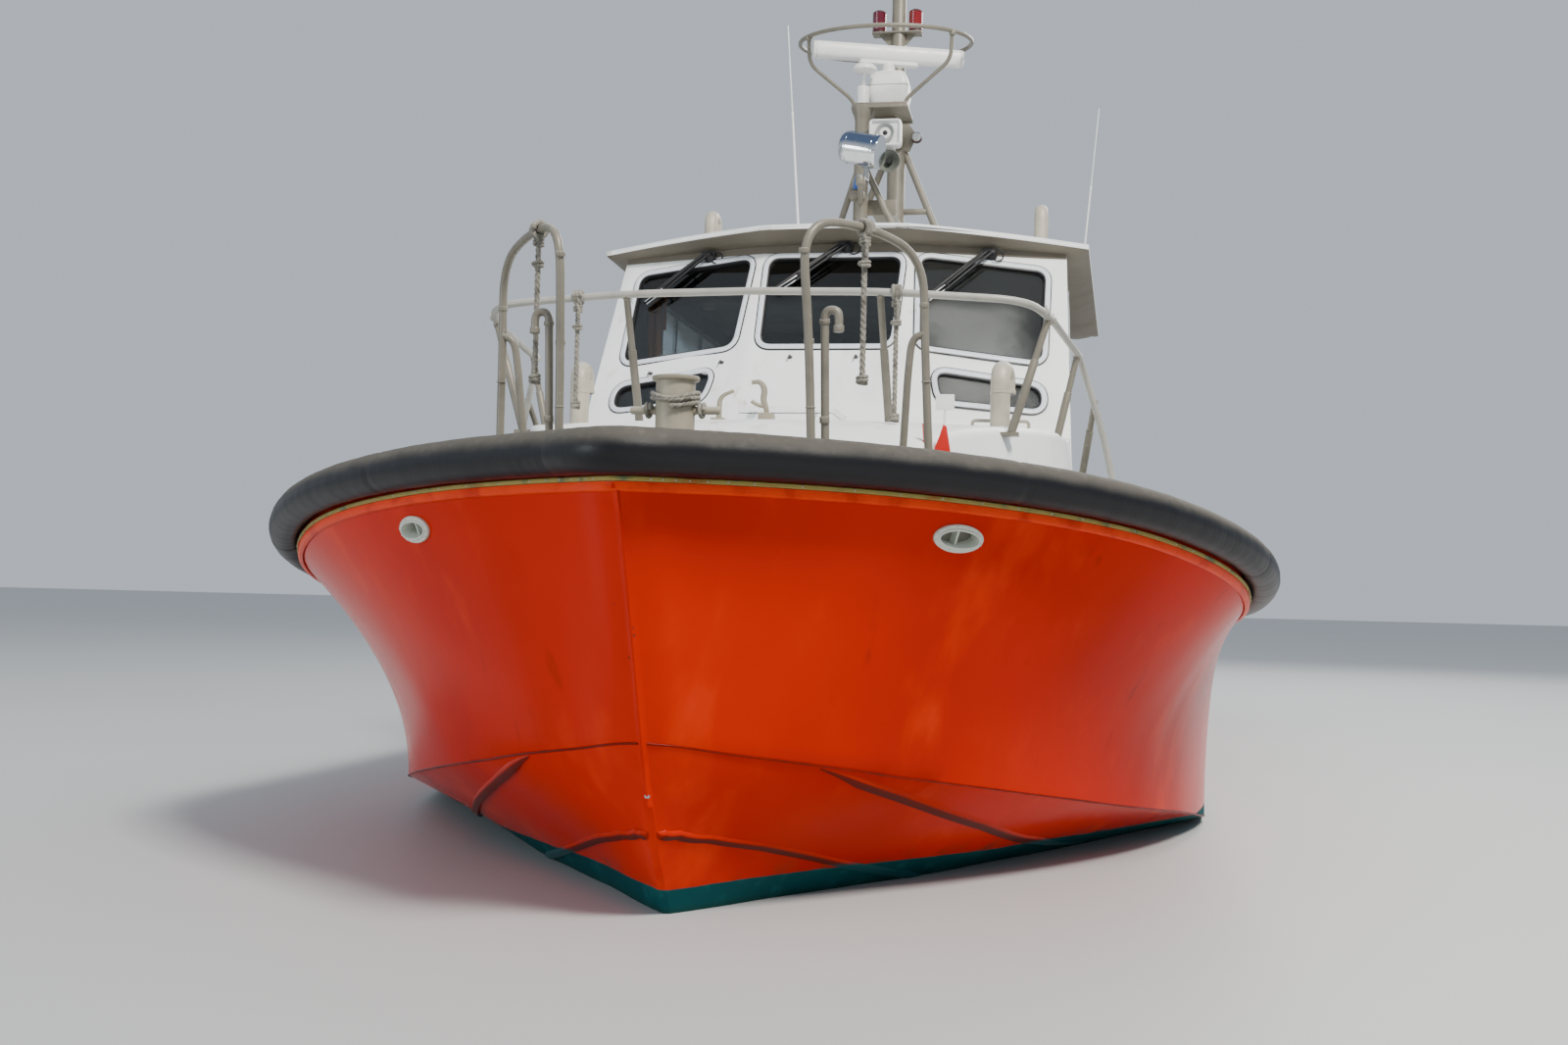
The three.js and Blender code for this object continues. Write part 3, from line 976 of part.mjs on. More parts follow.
for (const [side, name] of [[1, "propeller_port"], [-1, "propeller_starboard"]]) {
  const group = new THREE.Group();
  group.position.set(side * PROPELLER.half, PROPELLER.aft, PROPELLER.up);
  group.rotation.x = -SHAFT_ANGLE;
  boat.add(group);
  piece(name, "bronze", side > 0 ? propeller : mirrored(propeller), group);
}

const rudderRing = (z, fore, aft) => [
  [0, fore], [22, fore + 90], [24, fore + 180], [3, aft], [-3, aft], [-24, fore + 180], [-22, fore + 90],
].map(([x, y]) => [x, y, z]);
const rudder = join(
  rod([0, 0, RUDDER.gland - GAP], [0, 0, RUDDER.bottom + 200], 30, 12),
  loft([rudderRing(RUDDER.bottom, -110, 260), rudderRing(RUDDER.top, -140, 330)]),
);
for (const [side, name] of [[1, "rudder_port"], [-1, "rudder_starboard"]]) {
  piece(name, "steel", moved(rudder, side * RUDDER.half, RUDDER.aft, 0));
}

export default boat;
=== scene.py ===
"""Looks of the pilot boat. Sizes are in the boat's own millimetres: x to port, y aft of the
point where the stem meets the water, z up from the waterline. They become metres in to_world()."""
import math
import bmesh
import bpy
from mathutils import Matrix, Vector


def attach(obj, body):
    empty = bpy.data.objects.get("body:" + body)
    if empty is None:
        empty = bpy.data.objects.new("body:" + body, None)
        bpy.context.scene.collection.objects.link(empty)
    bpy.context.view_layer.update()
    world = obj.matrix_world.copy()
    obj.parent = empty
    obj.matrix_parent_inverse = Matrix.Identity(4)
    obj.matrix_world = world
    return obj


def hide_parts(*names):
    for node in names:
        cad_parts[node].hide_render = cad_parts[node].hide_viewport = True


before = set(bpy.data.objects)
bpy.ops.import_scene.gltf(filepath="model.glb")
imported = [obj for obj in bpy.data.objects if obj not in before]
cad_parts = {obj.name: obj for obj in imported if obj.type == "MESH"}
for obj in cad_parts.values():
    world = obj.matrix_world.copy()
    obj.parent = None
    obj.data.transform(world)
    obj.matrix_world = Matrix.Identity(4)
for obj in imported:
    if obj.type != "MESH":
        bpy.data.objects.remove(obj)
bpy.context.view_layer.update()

# Driving dimensions, in millimetres and degrees
MM = 0.001
STEM_TO_MIDSHIP = 7500
HOUSE = dict(aft_wall=9150, front_half=560, sweep=320, rake=0.627, face_aft=4420, face_up=3340)
HOUSE_SIDE = dict(low_up=1500, low_half=1850, high_up=4200, high_half=1750)
ROOF = dict(front_aft=4740, corner_aft=5200, corner_half=1920, back_aft=9350, back_half=2060,
            edge_up=4215, camber=95, deep=100, rim=30, straight=0.29)
RADAR = dict(x=60, y=7570, deck=6030, up=6570, length=1440, height=165, depth=125, turn=18)
RING = dict(x=33, radius=803, up=6670, tilt=7.3, tube=20)
LIGHT = dict(x=-90, y=6890, up=5490, radius=148, length=350, turn=80, tilt=13, arm_up=5195)
PROPELLER = dict(half=1150, aft=14950, up=-860)
RUDDER = dict(half=1150, aft=15480)
BITT = dict(y=-40, radius=92, top=2495, pin_up=2335, pin_half=215)
HAWSE = dict(row=4.9, share=0.8, long=115, high=46, deep=60, rim=23)
FENDER_RADIUS, FENDER_SEAT = 100, 95
LIP_OUT, LIP_TOP, LIP_BOTTOM, RIM_RISE, CAMBER = 22, -130, -150, 60, 45
UP, DOWN, FORE, AFT, PORT = (0, 0, 1), (0, 0, -1), (0, -1, 0), (0, 1, 0), (1, 0, 0)

# Height of the line between the orange and the bottom paint, in metres
PAINT_LINE = 0.145

# Photograph's camera, in metres and degrees, for a picture of 1600 by 1066
PICTURE_WIDTH = 1600
CAMERA = dict(place=(1.827, -14.827, 1.5), focal_px=1650, yaw=10.12, pitch=2.49, roll=1.34)

# Hull lines. Columns: deck edge, chine, inner spray line, keel, each as aft, half breadth
# and up, then how far the topside hollows in.
HULL_TABLE = [
    ((-945, 25, 2060), (-470, 20, 830), (-390, 18, 670), (-330, 18, 540), 0),
    ((-870, 120, 2062), (-425, 110, 822), (-330, 30, 560), (-250, 18, 400), 5),
    ((-755, 245, 2065), (-370, 195, 808), (-270, 50, 480), (-180, 18, 290), 15),
    ((-605, 455, 2067), (-230, 350, 775), (-170, 90, 410), (-100, 18, 190), 25),
    ((-250, 970, 2058), (-30, 600, 730), (0, 190, 350), (10, 18, 50), 35),
    ((110, 1430, 2033), (190, 820, 685), (180, 310, 300), (130, 18, -110), 55),
    ((465, 1830, 1993), (400, 1000, 640), (390, 440, 250), (300, 18, -290), 65),
    ((815, 2160, 1937), (620, 1180, 598), (620, 580, 195), (520, 18, -440), 80),
    ((1170, 2420, 1865), (890, 1400, 547), (870, 750, 130), (800, 18, -570), 95),
    ((1515, 2610, 1790), (1200, 1620, 490), (1180, 930, 65), (1130, 18, -670), 115),
    ((1860, 2735, 1715), (1620, 1890, 417), (1540, 1130, 10), (1500, 18, -750), 130),
    ((2210, 2800, 1645), (2035, 2115, 347), (1980, 1370, 0), (1900, 18, -800), 130),
    ((2560, 2825, 1595), (2450, 2305, 285), (2420, 1640, 0), (2350, 18, -840), 120),
    ((3200, 2840, 1540), (3200, 2560, 180), (3150, 2000, -20), (3100, 18, -870), 80),
    ((4200, 2850, 1500), (4200, 2750, 40), (4200, 2200, -110), (4200, 18, -890), 30),
    ((6500, 2855, 1460), (6500, 2770, -70), (6500, 2150, -180), (6500, 18, -900), 0),
    ((10000, 2840, 1430), (10000, 2750, -100), (10000, 2100, -190), (10000, 18, -860), 0),
    ((13500, 2760, 1430), (13500, 2670, -105), (13500, 2000, -190), (13500, 18, -740), 0),
    ((15900, 2650, 1450), (15900, 2560, -110), (15900, 1900, -190), (15900, 18, -620), 0),
]
LAST_ROW, STRAIGHT_ROW = len(HULL_TABLE) - 1, 14
DECK, CHINE, SPRAY, KEEL = range(4)


class Shape:
    """Corners in boat millimetres and the faces that join them."""

    def __init__(self, corners=(), faces=()):
        self.corners = [Vector(c) for c in corners]
        self.faces = list(faces)

    def add(self, *others):
        for other in others:
            start = len(self.corners)
            self.corners += other.corners
            self.faces += [tuple(i + start for i in face) for face in other.faces]
        return self

    def placed(self, matrix):
        return Shape([matrix @ c for c in self.corners], self.faces)

    def mirrored(self):
        return Shape(flip(self.corners), [tuple(reversed(f)) for f in self.faces])

    def both_sides(self):
        return joined(self, self.mirrored())


def flip(points):
    """The same points on the other side of the boat."""
    return [Vector((-p.x, p.y, p.z)) for p in points]


def joined(*shapes):
    return Shape().add(*shapes)


def loft(rings, closed=False):
    """Rings of points joined in order and capped; closed joins the last ring to the first."""
    count, last = len(rings[0]), len(rings) - 1
    faces = []
    for i in range(last + closed):
        here, there = i * count, (i + 1) % len(rings) * count
        for j in range(count):
            k = (j + 1) % count
            faces.append((here + j, here + k, there + k, there + j))
    if not closed:
        faces.append(tuple(reversed(range(count))))
        faces.append(tuple(range(last * count, len(rings) * count)))
    return Shape([corner for ring in rings for corner in ring], faces)


def rectangle(half_x, half_y):
    return [(sx * half_x, sy * half_y) for sx, sy in ((-1, -1), (1, -1), (1, 1), (-1, 1))]


def slab(outline, z0, z1):
    """A flat outline across and aft, pushed up."""
    return loft([[(x, y, z) for x, y in outline] for z in (z0, z1)])


def plate(outline, y0, y1):
    """A flat outline across and up, pushed aft."""
    return loft([[(x, y, z) for x, z in outline] for y in (y0, y1)])


def block(x0, x1, y0, y1, z0, z1):
    return slab([(x0, y0), (x1, y0), (x1, y1), (x0, y1)], z0, z1)


def turns(sides):
    return [2 * math.pi * k / sides for k in range(sides)]


def around(axis):
    """Two directions square to an axis."""
    level = Vector(PORT) if abs(axis.z) > 0.9 else Vector(UP)
    across = level.cross(axis).normalized()
    return across, axis.cross(across).normalized()


def circle(centre, across, upward, radius, sides):
    return [centre + (across * math.cos(a) + upward * math.sin(a)) * radius for a in turns(sides)]


def lathe(profile, start, direction=UP, sides=28):
    """A profile of (along, radius) pairs turned about a line from start."""
    start, axis = Vector(start), Vector(direction).normalized()
    return loft([circle(start + axis * along, *around(axis), radius, sides) for along, radius in profile])


def rod(start, end, radius, sides=16, end_radius=None, soft=0):
    """A round bar, with its ends rounded over by soft."""
    start, end = Vector(start), Vector(end)
    length, last = (end - start).length, end_radius or radius
    profile = [(0, radius), (length, last)]
    if soft:
        profile = [(0, radius - soft), (soft * 0.3, radius - soft * 0.3), (soft, radius),
                   (length - soft, last), (length - soft * 0.3, last - soft * 0.3), (length, last - soft)]
    return lathe(profile, start, end - start, sides)


def dome(centre, direction, radius, rise, sides, steps):
    """A round cap that rises from a flat back."""
    angles = [math.pi / 2 * k / steps for k in range(steps + 1)]
    profile = [(rise * math.sin(a), radius * math.cos(a) + 0.01) for a in angles]
    return lathe(profile, centre, direction, sides)


def arc(start, corner, end, steps):
    """A curve from start to end that is drawn towards a corner."""
    shares = [k / steps for k in range(steps + 1)]
    return [start * (1 - t) ** 2 + corner * 2 * t * (1 - t) + end * t ** 2 for t in shares]


def bent(points, reach, steps=8):
    """The same points with each corner turned into a bend."""
    path = [Vector(p) for p in points]
    result = [path[0]]
    for before, corner, after in zip(path, path[1:], path[2:]):
        first = corner.lerp(before, min(reach / (before - corner).length, 0.49))
        last = corner.lerp(after, min(reach / (after - corner).length, 0.49))
        result += arc(first, corner, last, steps)
    return result + [path[-1]]


def frames(path, closed=False):
    """Each point of a line with two directions square to the line, without a twist between them."""
    count, across, result = len(path), None, []
    for i, point in enumerate(path):
        before = path[i - 1] if i or closed else point
        after = path[(i + 1) % count] if closed or i + 1 < count else point
        along = (after - before).normalized()
        across = across or around(along)[0]
        across = (across - along * across.dot(along)).normalized()
        result.append((point, across, along.cross(across)))
    return result


def sweep(points, radius, sides=14, closed=False):
    """A tube along points; radius is a number or a function of the share of the way along."""
    path = [Vector(p) for p in points]
    radius_at = radius if callable(radius) else (lambda share: radius)
    last = max(len(path) - 1, 1)
    return loft([circle(*spot, radius_at(i / last), sides) for i, spot in enumerate(frames(path, closed))],
                closed)


def pipe(points, radius, reach, sides=14):
    return sweep(bent(points, reach), radius, sides)


def ring_at(centre, direction, radius, thick, steps):
    """A round ring of round section."""
    path = circle(Vector(centre), *around(Vector(direction).normalized()), radius, steps)
    return sweep(path, thick, 8, closed=True)


def rounded(outline, radius, steps=6):
    """A closed flat outline with its corners rounded."""
    result = []
    for i, corner in enumerate(outline):
        here = Vector(corner)
        before, after = Vector(outline[i - 1]) - here, Vector(outline[(i + 1) % len(outline)]) - here
        result += arc(here + before.normalized() * radius, here, here + after.normalized() * radius, steps)
    return result


def inset(outline, margin):
    """A flat outline moved in by a margin, or out where it is negative."""
    points = [Vector(p) for p in outline]
    area = sum(a.x * b.y - b.x * a.y for a, b in zip(points, points[1:] + points[:1]))
    turn = 1 if area > 0 else -1
    result = []
    for i, here in enumerate(points):
        first = (here - points[i - 1]).normalized()
        second = (points[(i + 1) % len(points)] - here).normalized()
        if first.length < 0.5:
            first = second
        normal = Vector((-first.y, first.x)) * turn
        inward = Vector((-first.y - second.y, first.x + second.x)) * turn
        inward.normalize()
        result.append(here + inward * (margin / max(inward.dot(normal), 0.3)))
    return result


# Pieces: a shape made into an object that rides on a body
def to_world(corner):
    return (corner.x * MM, (corner.y - STEM_TO_MIDSHIP) * MM, corner.z * MM)


def linked(name, data):
    """A new object in the scene."""
    obj = bpy.data.objects.new(name, data)
    bpy.context.scene.collection.objects.link(obj)
    return obj


def applied(obj):
    """Its modifiers made part of its mesh."""
    bpy.context.view_layer.update()
    shown = obj.evaluated_get(bpy.context.evaluated_depsgraph_get())
    mesh = bpy.data.meshes.new_from_object(shown)
    obj.modifiers.clear()
    obj.data = mesh


def smooth(obj, sharp):
    obj.data.shade_smooth()
    obj.data.set_sharp_from_angle(angle=math.radians(sharp))


def make_object(name, shape):
    mesh = bpy.data.meshes.new(name)
    mesh.from_pydata([to_world(c) for c in shape.corners], [], shape.faces)
    work = bmesh.new()
    work.from_mesh(mesh)
    bmesh.ops.recalc_face_normals(work, faces=work.faces)
    work.to_mesh(mesh)
    work.free()
    return linked(name, mesh)


def dressed(obj, finish, body, bevel, segments, angle, sharp):
    """Rounds an object's edges over, paints it and sets it on its body."""
    if bevel:
        edge = obj.modifiers.new("edge", "BEVEL")
        edge.width = bevel * MM
        edge.segments = segments
        edge.limit_method = "ANGLE"
        edge.angle_limit = math.radians(angle)
        applied(obj)
    smooth(obj, sharp)
    obj.data.materials.append(finish.material)
    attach(obj, body)


def piece(name, shape, finish, node=None, body="boat", bevel=0, sharp=40):
    """A shape as a piece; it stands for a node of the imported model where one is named."""
    obj = make_object(name, shape)
    dressed(obj, finish, body, bevel, 3, 30, sharp)
    if node:
        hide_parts(node)
    return obj


def pair(name, shape, finish, node):
    """A piece to port and its mirror image to starboard, each for a node of its own."""
    for side, made in (("_port", shape), ("_starboard", shape.mirrored())):
        piece(name + side, made, finish, node + side)


def softened(node, finish, body="boat", bevel=5):
    """A node's own shape with its edges rounded over, as a piece that stands for it."""
    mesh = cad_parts[node].data.copy()
    mesh.materials.clear()
    work = bmesh.new()
    work.from_mesh(mesh)
    bmesh.ops.remove_doubles(work, verts=work.verts, dist=0.00005)
    bmesh.ops.dissolve_limit(work, angle_limit=math.radians(1), verts=work.verts, edges=work.edges)
    work.to_mesh(mesh)
    work.free()
    obj = linked(node + "_shape", mesh)
    dressed(obj, finish, body, bevel, 2, 35, 35)
    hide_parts(node)
    return obj


def paint_second(obj, finish, chosen):
    """A second finish on the faces that are chosen."""
    obj.data.materials.append(finish.material)
    for face in obj.data.polygons:
        if chosen(face):
            face.material_index = 1


def paint_node(name, finish):
    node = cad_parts[name]
    if not node.data.materials:
        node.data.materials.append(finish.material)
    for place in node.material_slots:
        place.material = finish.material


class Paint:
    """A procedural finish and its slot: layers of colour laid over one another by masks."""

    def __init__(self, name, slot, colour, roughness, metallic=0.0, **inputs):
        self.slot = slot
        self.material = bpy.data.materials.new(name)
        self.material.use_nodes = True
        self.tree = self.material.node_tree
        self.shader = self.tree.nodes["Principled BSDF"]
        self.colour, self.roughness = (*colour, 1), roughness
        constants = {"Base_Color": self.colour, "Roughness": roughness, "Metallic": metallic, **inputs}
        for socket, value in constants.items():
            self.shader.inputs[socket.replace("_", " ")].default_value = value
        self.coords = self.node("ShaderNodeTexCoord", {}, "Object")

    def node(self, kind, inputs, output=0, **settings):
        """The output of a new node, whose inputs are values or other nodes' outputs."""
        made = self.tree.nodes.new(kind)
        for key, value in settings.items():
            setattr(made, key, value)
        for key, value in inputs.items():
            if isinstance(value, bpy.types.NodeSocket):
                self.tree.links.new(value, made.inputs[key])
            else:
                made.inputs[key].default_value = value
        return made.outputs[output]

    def times(self, first, second):
        return self.node("ShaderNodeMath", {0: first, 1: second}, operation="MULTIPLY")

    def plus(self, first, second):
        return self.node("ShaderNodeMath", {0: first, 1: second}, operation="ADD")

    def band(self, value, low, high):
        """0 up to low, 1 from high on, and smooth between them."""
        ends = {"Value": value, "From Min": low, "From Max": high, "To Min": 0, "To Max": 1}
        return self.node("ShaderNodeMapRange", ends, "Result", interpolation_type="SMOOTHSTEP")

    def noise(self, scale, detail=4, drawn=1, rough=0.55):
        """Noise, drawn out along the height where drawn is less than 1."""
        place = self.node("ShaderNodeMapping", {"Vector": self.coords, "Scale": (1, 1, drawn)})
        inputs = {"Vector": place, "Scale": scale, "Detail": detail, "Roughness": rough}
        return self.node("ShaderNodeTexNoise", inputs, "Fac")

    def axis(self, letter):
        return self.node("ShaderNodeSeparateXYZ", {0: self.coords}, letter)

    def facing_up(self):
        return self.node("ShaderNodeSeparateXYZ", {0: self.node("ShaderNodeNewGeometry", {}, "Normal")}, "Z")

    def uneven(self, value, scale, detail, share):
        """A value with noise added to it."""
        return self.plus(value, self.times(self.noise(scale, detail), share))

    def mix(self, kind, mask, before, after, socket):
        inputs = {"Factor": mask, "A": before, "B": after}
        mixed = self.node("ShaderNodeMix", inputs, "Result", data_type=kind)
        self.tree.links.new(mixed, self.shader.inputs[socket])
        return mixed

    def tint(self, mask, colour):
        self.colour = self.mix("RGBA", mask, self.colour, (*colour, 1), "Base Color")
        return self

    def dull(self, mask, roughness):
        self.roughness = self.mix("FLOAT", mask, self.roughness, roughness, "Roughness")
        return self

    def patches(self, colour, scale, low, high, detail=4, drawn=1):
        return self.tint(self.band(self.noise(scale, detail, drawn), low, high), colour)

    def speckle(self, colour, scale, low, high):
        return self.tint(self.band(self.noise(scale, 8, rough=0.7), low, high), colour)

    def streaks(self, colour, low, high, run=0.12):
        """Runs that hang down the surface in patches."""
        runs = self.band(self.noise(7, 6, run), low, high)
        return self.tint(self.times(runs, self.band(self.noise(1.3), 0.45, 0.7)), colour)

    def worn(self, roughness, scale, low, high, detail=4):
        return self.dull(self.band(self.noise(scale, detail), low, high), roughness)

    def grain(self, scale, distance, strength=1.0, detail=4, drawn=1):
        """Bumps of a noise, over those that are there."""
        inputs = {"Distance": distance, "Strength": strength, "Height": self.noise(scale, detail, drawn)}
        normal = self.shader.inputs["Normal"]
        if normal.is_linked:
            inputs["Normal"] = normal.links[0].from_socket
        self.tree.links.new(self.node("ShaderNodeBump", inputs), normal)
        return self


RUST = (0.16, 0.055, 0.018)
GRIME = (0.2, 0.18, 0.14)
TEAL = (0.003, 0.06, 0.066)


def shade(colour, share, lift=0):
    return tuple(c * share + lift for c in colour)


def hull_paint():
    made = Paint("hull orange", "hull_paint", (0.53, 0.0125, 0.0), 0.2, Specular_IOR_Level=0.05)
    made.patches((0.42, 0.008, 0.0), 0.55, 0.4, 0.75, 3)
    made.patches((0.63, 0.026, 0.0005), 2.6, 0.52, 0.8, 4, 0.35)
    made.streaks((0.28, 0.012, 0.002), 0.6, 0.78).speckle((0.4, 0.1, 0.04), 30, 0.72, 0.78)
    depth = made.times(made.uneven(made.axis("Z"), 1.8, 6, 0.03), -1)
    below = made.band(depth, -PAINT_LINE - 0.004, -PAINT_LINE + 0.004)
    film = made.times(made.band(depth, -PAINT_LINE - 0.1, -PAINT_LINE),
                      made.band(made.noise(5, 4, 0.3), 0.45, 0.8))
    scum = made.times(made.band(depth, -0.06, -0.015), 0.7)
    made.tint(film, (0.2, 0.03, 0.014)).tint(below, TEAL)
    made.tint(made.times(below, made.band(made.noise(7, 8), 0.5, 0.72)), (0.01, 0.105, 0.105))
    made.tint(scum, (0.012, 0.045, 0.035)).dull(below, 0.62)
    made.dull(made.times(made.band(made.noise(1.1), 0.5, 0.8), 0.5), 0.36)
    return made.grain(0.8, 0.012, detail=1).grain(160, 0.0004, 0.4, 2)


def rail_paint():
    """The hull's orange on the spray rails, with painted shade on their undersides."""
    made = Paint("spray rail orange", "hull_paint", (0.5, 0.014, 0.0), 0.3, Specular_IOR_Level=0.08)
    made.patches((0.36, 0.008, 0.001), 2.6, 0.5, 0.8, 6)
    # Faces that point down are darkened: painted shade under the rails
    made.tint(made.band(made.times(made.facing_up(), -1), 0.1, 0.75), (0.07, 0.006, 0.002))
    made.tint(made.band(made.times(made.axis("Z"), -1), -0.16, -0.13), TEAL)
    return made.grain(60, 0.0006, 0.5)


def plain_orange(name, colour, worn):
    made = Paint(name, "hull_paint", colour, 0.35, Specular_IOR_Level=0.1)
    return made.patches(worn, 6, 0.48, 0.72, 7).grain(60, 0.0006, 0.5)


def fender_paint():
    """Black rubber, chalky on top."""
    made = Paint("fender rubber", "fender_rubber", (0.0035, 0.004, 0.006), 0.4, Specular_IOR_Level=0.3)
    upward = made.facing_up()
    made.tint(made.band(made.uneven(upward, 5, 6, 0.5), 0.3, 0.95), (0.078, 0.071, 0.06))
    chalk = made.times(made.band(upward, 0.2, 0.9), made.band(made.noise(22, 8), 0.5, 0.75))
    made.tint(chalk, (0.105, 0.096, 0.08)).speckle((0.008, 0.008, 0.009), 14, 0.66, 0.7)
    made.speckle((0.012, 0.012, 0.012), 42, 0.72, 0.76).speckle((0.2, 0.18, 0.14), 34, 0.75, 0.79)
    return made.dull(made.band(upward, 0, 0.7), 0.75).grain(60, 0.0015, 0.6, 8).grain(9, 0.004, 0.5)


def strip_paint():
    made = Paint("tarnished strip", "strip_metal", (0.34, 0.27, 0.075), 0.5, 0.45)
    made.patches((0.13, 0.16, 0.075), 9, 0.5, 0.68, 8).patches((0.3, 0.12, 0.02), 5, 0.56, 0.7, 6)
    return made.dull(made.noise(12), 0.8).grain(70, 0.001, detail=6)


def white_paint(name, colour, roughness=0.42, rust=0.78, stain=(0.66, 0.64, 0.58), slot="white_paint"):
    made = Paint(name, slot, colour, roughness)
    made.patches(shade(colour, 0.86), 1.4, 0.42, 0.8, 6).patches(stain, 4.5, 0.58, 0.85, 4, 0.3)
    made.streaks((stain[0] * 0.78, stain[1] * 0.64, stain[2] * 0.47), 0.6, 0.76, 0.08)
    made.speckle(RUST, 26, rust, rust + 0.04).speckle(GRIME, 55, rust - 0.02, rust + 0.03)
    return made.worn(roughness + 0.16, 3, 0.4, 0.7).grain(45, 0.0008, 0.5, 5).grain(2.2, 0.004, 0.5, 2)


def beige_paint(name, colour, roughness=0.42):
    made = Paint(name, "beige_paint", colour, roughness, 0.1)
    # Faces that point up are lighter: a painted highlight where light falls on the tops
    made.tint(made.band(made.facing_up(), 0.55, 0.98), shade(colour, 0.5, 0.3))
    made.patches(shade(colour, 0.78), 6, 0.45, 0.75, 6).speckle(shade(colour, 0.5, 0.24), 38, 0.62, 0.7)
    made.speckle(RUST, 30, 0.72, 0.76).streaks((0.2, 0.12, 0.06), 0.68, 0.82, 0.1)
    return made.grain(90, 0.0008, 0.6, 6)


def metal(name, slot, colour, roughness, spots):
    made = Paint(name, slot, colour, roughness, 1.0).patches(spots, 11, 0.5, 0.78, 7)
    return made.worn(roughness + 0.25, 24, 0.4, 0.8, 6).grain(120, 0.0006, 0.5)


def sky_reflection_chrome():
    """Chrome with a painted reflection of a clear sky: what faces up is tinted blue."""
    made = Paint("polished chrome with painted sky reflection", "chrome", (0.74, 0.75, 0.76), 0.1, 1.0)
    # Faces that point up are tinted blue: painted reflection of the sky
    made.tint(made.band(made.facing_up(), -0.1, 0.3), (0.15, 0.2, 0.31))
    made.patches((0.42, 0.44, 0.47), 30, 0.62, 0.8, 6).worn(0.22, 24, 0.5, 0.8, 6)
    return made.grain(5, 0.0004, 0.4, 2)


def plastic(name, slot, colour, roughness):
    made = Paint(name, slot, colour, roughness).patches(shade(colour, 0.82), 5, 0.5, 0.85, 6)
    made.speckle(shade(colour, 0.5), 60, 0.72, 0.78).worn(roughness + 0.18, 9, 0.4, 0.8)
    return made.grain(140, 0.0003, 0.5, 3)


def clear_glass():
    made = Paint("tinted glass with painted roof shadow", "window_glass", (0.66, 0.72, 0.73), 0.02, Transmission_Weight=1.0, IOR=1.45)
    # Darker towards the top of the panes: painted shadow of the roof's overhang
    made.tint(made.band(made.uneven(made.axis("Z"), 1.2, 2, 0.25), 3.8, 4.0), (0.2, 0.2, 0.19))
    return made.worn(0.12, 3.5, 0.55, 0.75, 6)


def salted_glass():
    """Glass with dried salt on it, thick towards the middle of the boat and worn off above."""
    made = Paint("salted glass", "window_glass", (0.2, 0.21, 0.2), 0.05, Transmission_Weight=0.93, IOR=1.45)
    below = made.band(made.times(made.uneven(made.axis("Z"), 1.2, 2, 0.25), -1), -3.9, -3.7)
    inboard = made.band(made.times(made.axis("X"), -1), -1.75, -0.9)
    smear = made.band(made.plus(made.noise(1.7, 6, 0.6), made.times(inboard, 0.3)), 0.45, 0.85)
    salt = made.times(smear, below)
    return made.tint(salt, (0.9, 0.92, 0.88)).dull(salt, 0.2)


def lens(name, slot, colour):
    made = Paint(name, slot, colour, 0.12, Coat_Weight=0.6, Coat_Roughness=0.05)
    return made.patches(shade(colour, 0.6), 18, 0.5, 0.8).grain(60, 0.0006, 0.4)


def rope_paint(name, slot, colour):
    made = Paint(name, slot, colour, 0.95, Sheen_Weight=0.15)
    made.patches(shade(colour, 1.6), 70, 0.45, 0.7, 6).patches(shade(colour, 0.42), 22, 0.45, 0.75, 6)
    return made.grain(420, 0.0012, detail=3)


def deck_paint():
    made = Paint("grey deck", "hull_paint", (0.33, 0.34, 0.33), 0.8)
    made.patches((0.24, 0.24, 0.225), 2, 0.42, 0.75, 7).patches((0.42, 0.41, 0.38), 9, 0.6, 0.75, 7)
    return made.speckle(RUST, 12, 0.76, 0.8).grain(260, 0.0016, detail=2)


def wood():
    made = Paint("varnished wood", "beige_paint", (0.55, 0.22, 0.06), 0.3, Coat_Weight=0.4)
    return made.patches((0.3, 0.1, 0.025), 9, 0.42, 0.6, 8, 0.06).grain(30, 0.0006, drawn=0.05)


HULL, RAIL_ORANGE, NONSKID = hull_paint(), rail_paint(), deck_paint()
RUBBER, STRIP = fender_paint(), strip_paint()
# A dark orange for the bead along the chine: painted shade at the knuckle
CHINE_SHADE_ORANGE = plain_orange("orange with painted shade at the chine", (0.17, 0.006, 0.001), (0.1, 0.008, 0.003))
LEDGE_ORANGE = plain_orange("ledge orange", (0.72, 0.042, 0.002), (0.5, 0.018, 0.001))
WHITE = white_paint("weathered white", (0.885, 0.9, 0.89))
WHITE_TRIM = white_paint("white trim", (0.82, 0.82, 0.8), 0.36, 0.84)
# Dark beige, partly the soffit's own paint and partly painted shade under the roof; it also colours the
# painted shadow band on the front wall
SOFFIT_AND_SHADE = white_paint("beige soffit with painted shade", (0.2, 0.175, 0.135), 0.6, 0.74, (0.15, 0.13, 0.1), "beige_paint")
CAST = white_paint("painted casting", (0.6, 0.63, 0.55), 0.5, 0.74, (0.5, 0.5, 0.42), "hull_paint")
CAST_DARK = white_paint("shaded casting", (0.2, 0.19, 0.16), 0.6, 0.62, (0.15, 0.13, 0.1), "hull_paint")
FRAME_METAL = white_paint("window frame", (0.68, 0.72, 0.77), 0.35, 0.8, (0.55, 0.58, 0.62))
BEIGE = beige_paint("beige rail", (0.2, 0.18, 0.14))
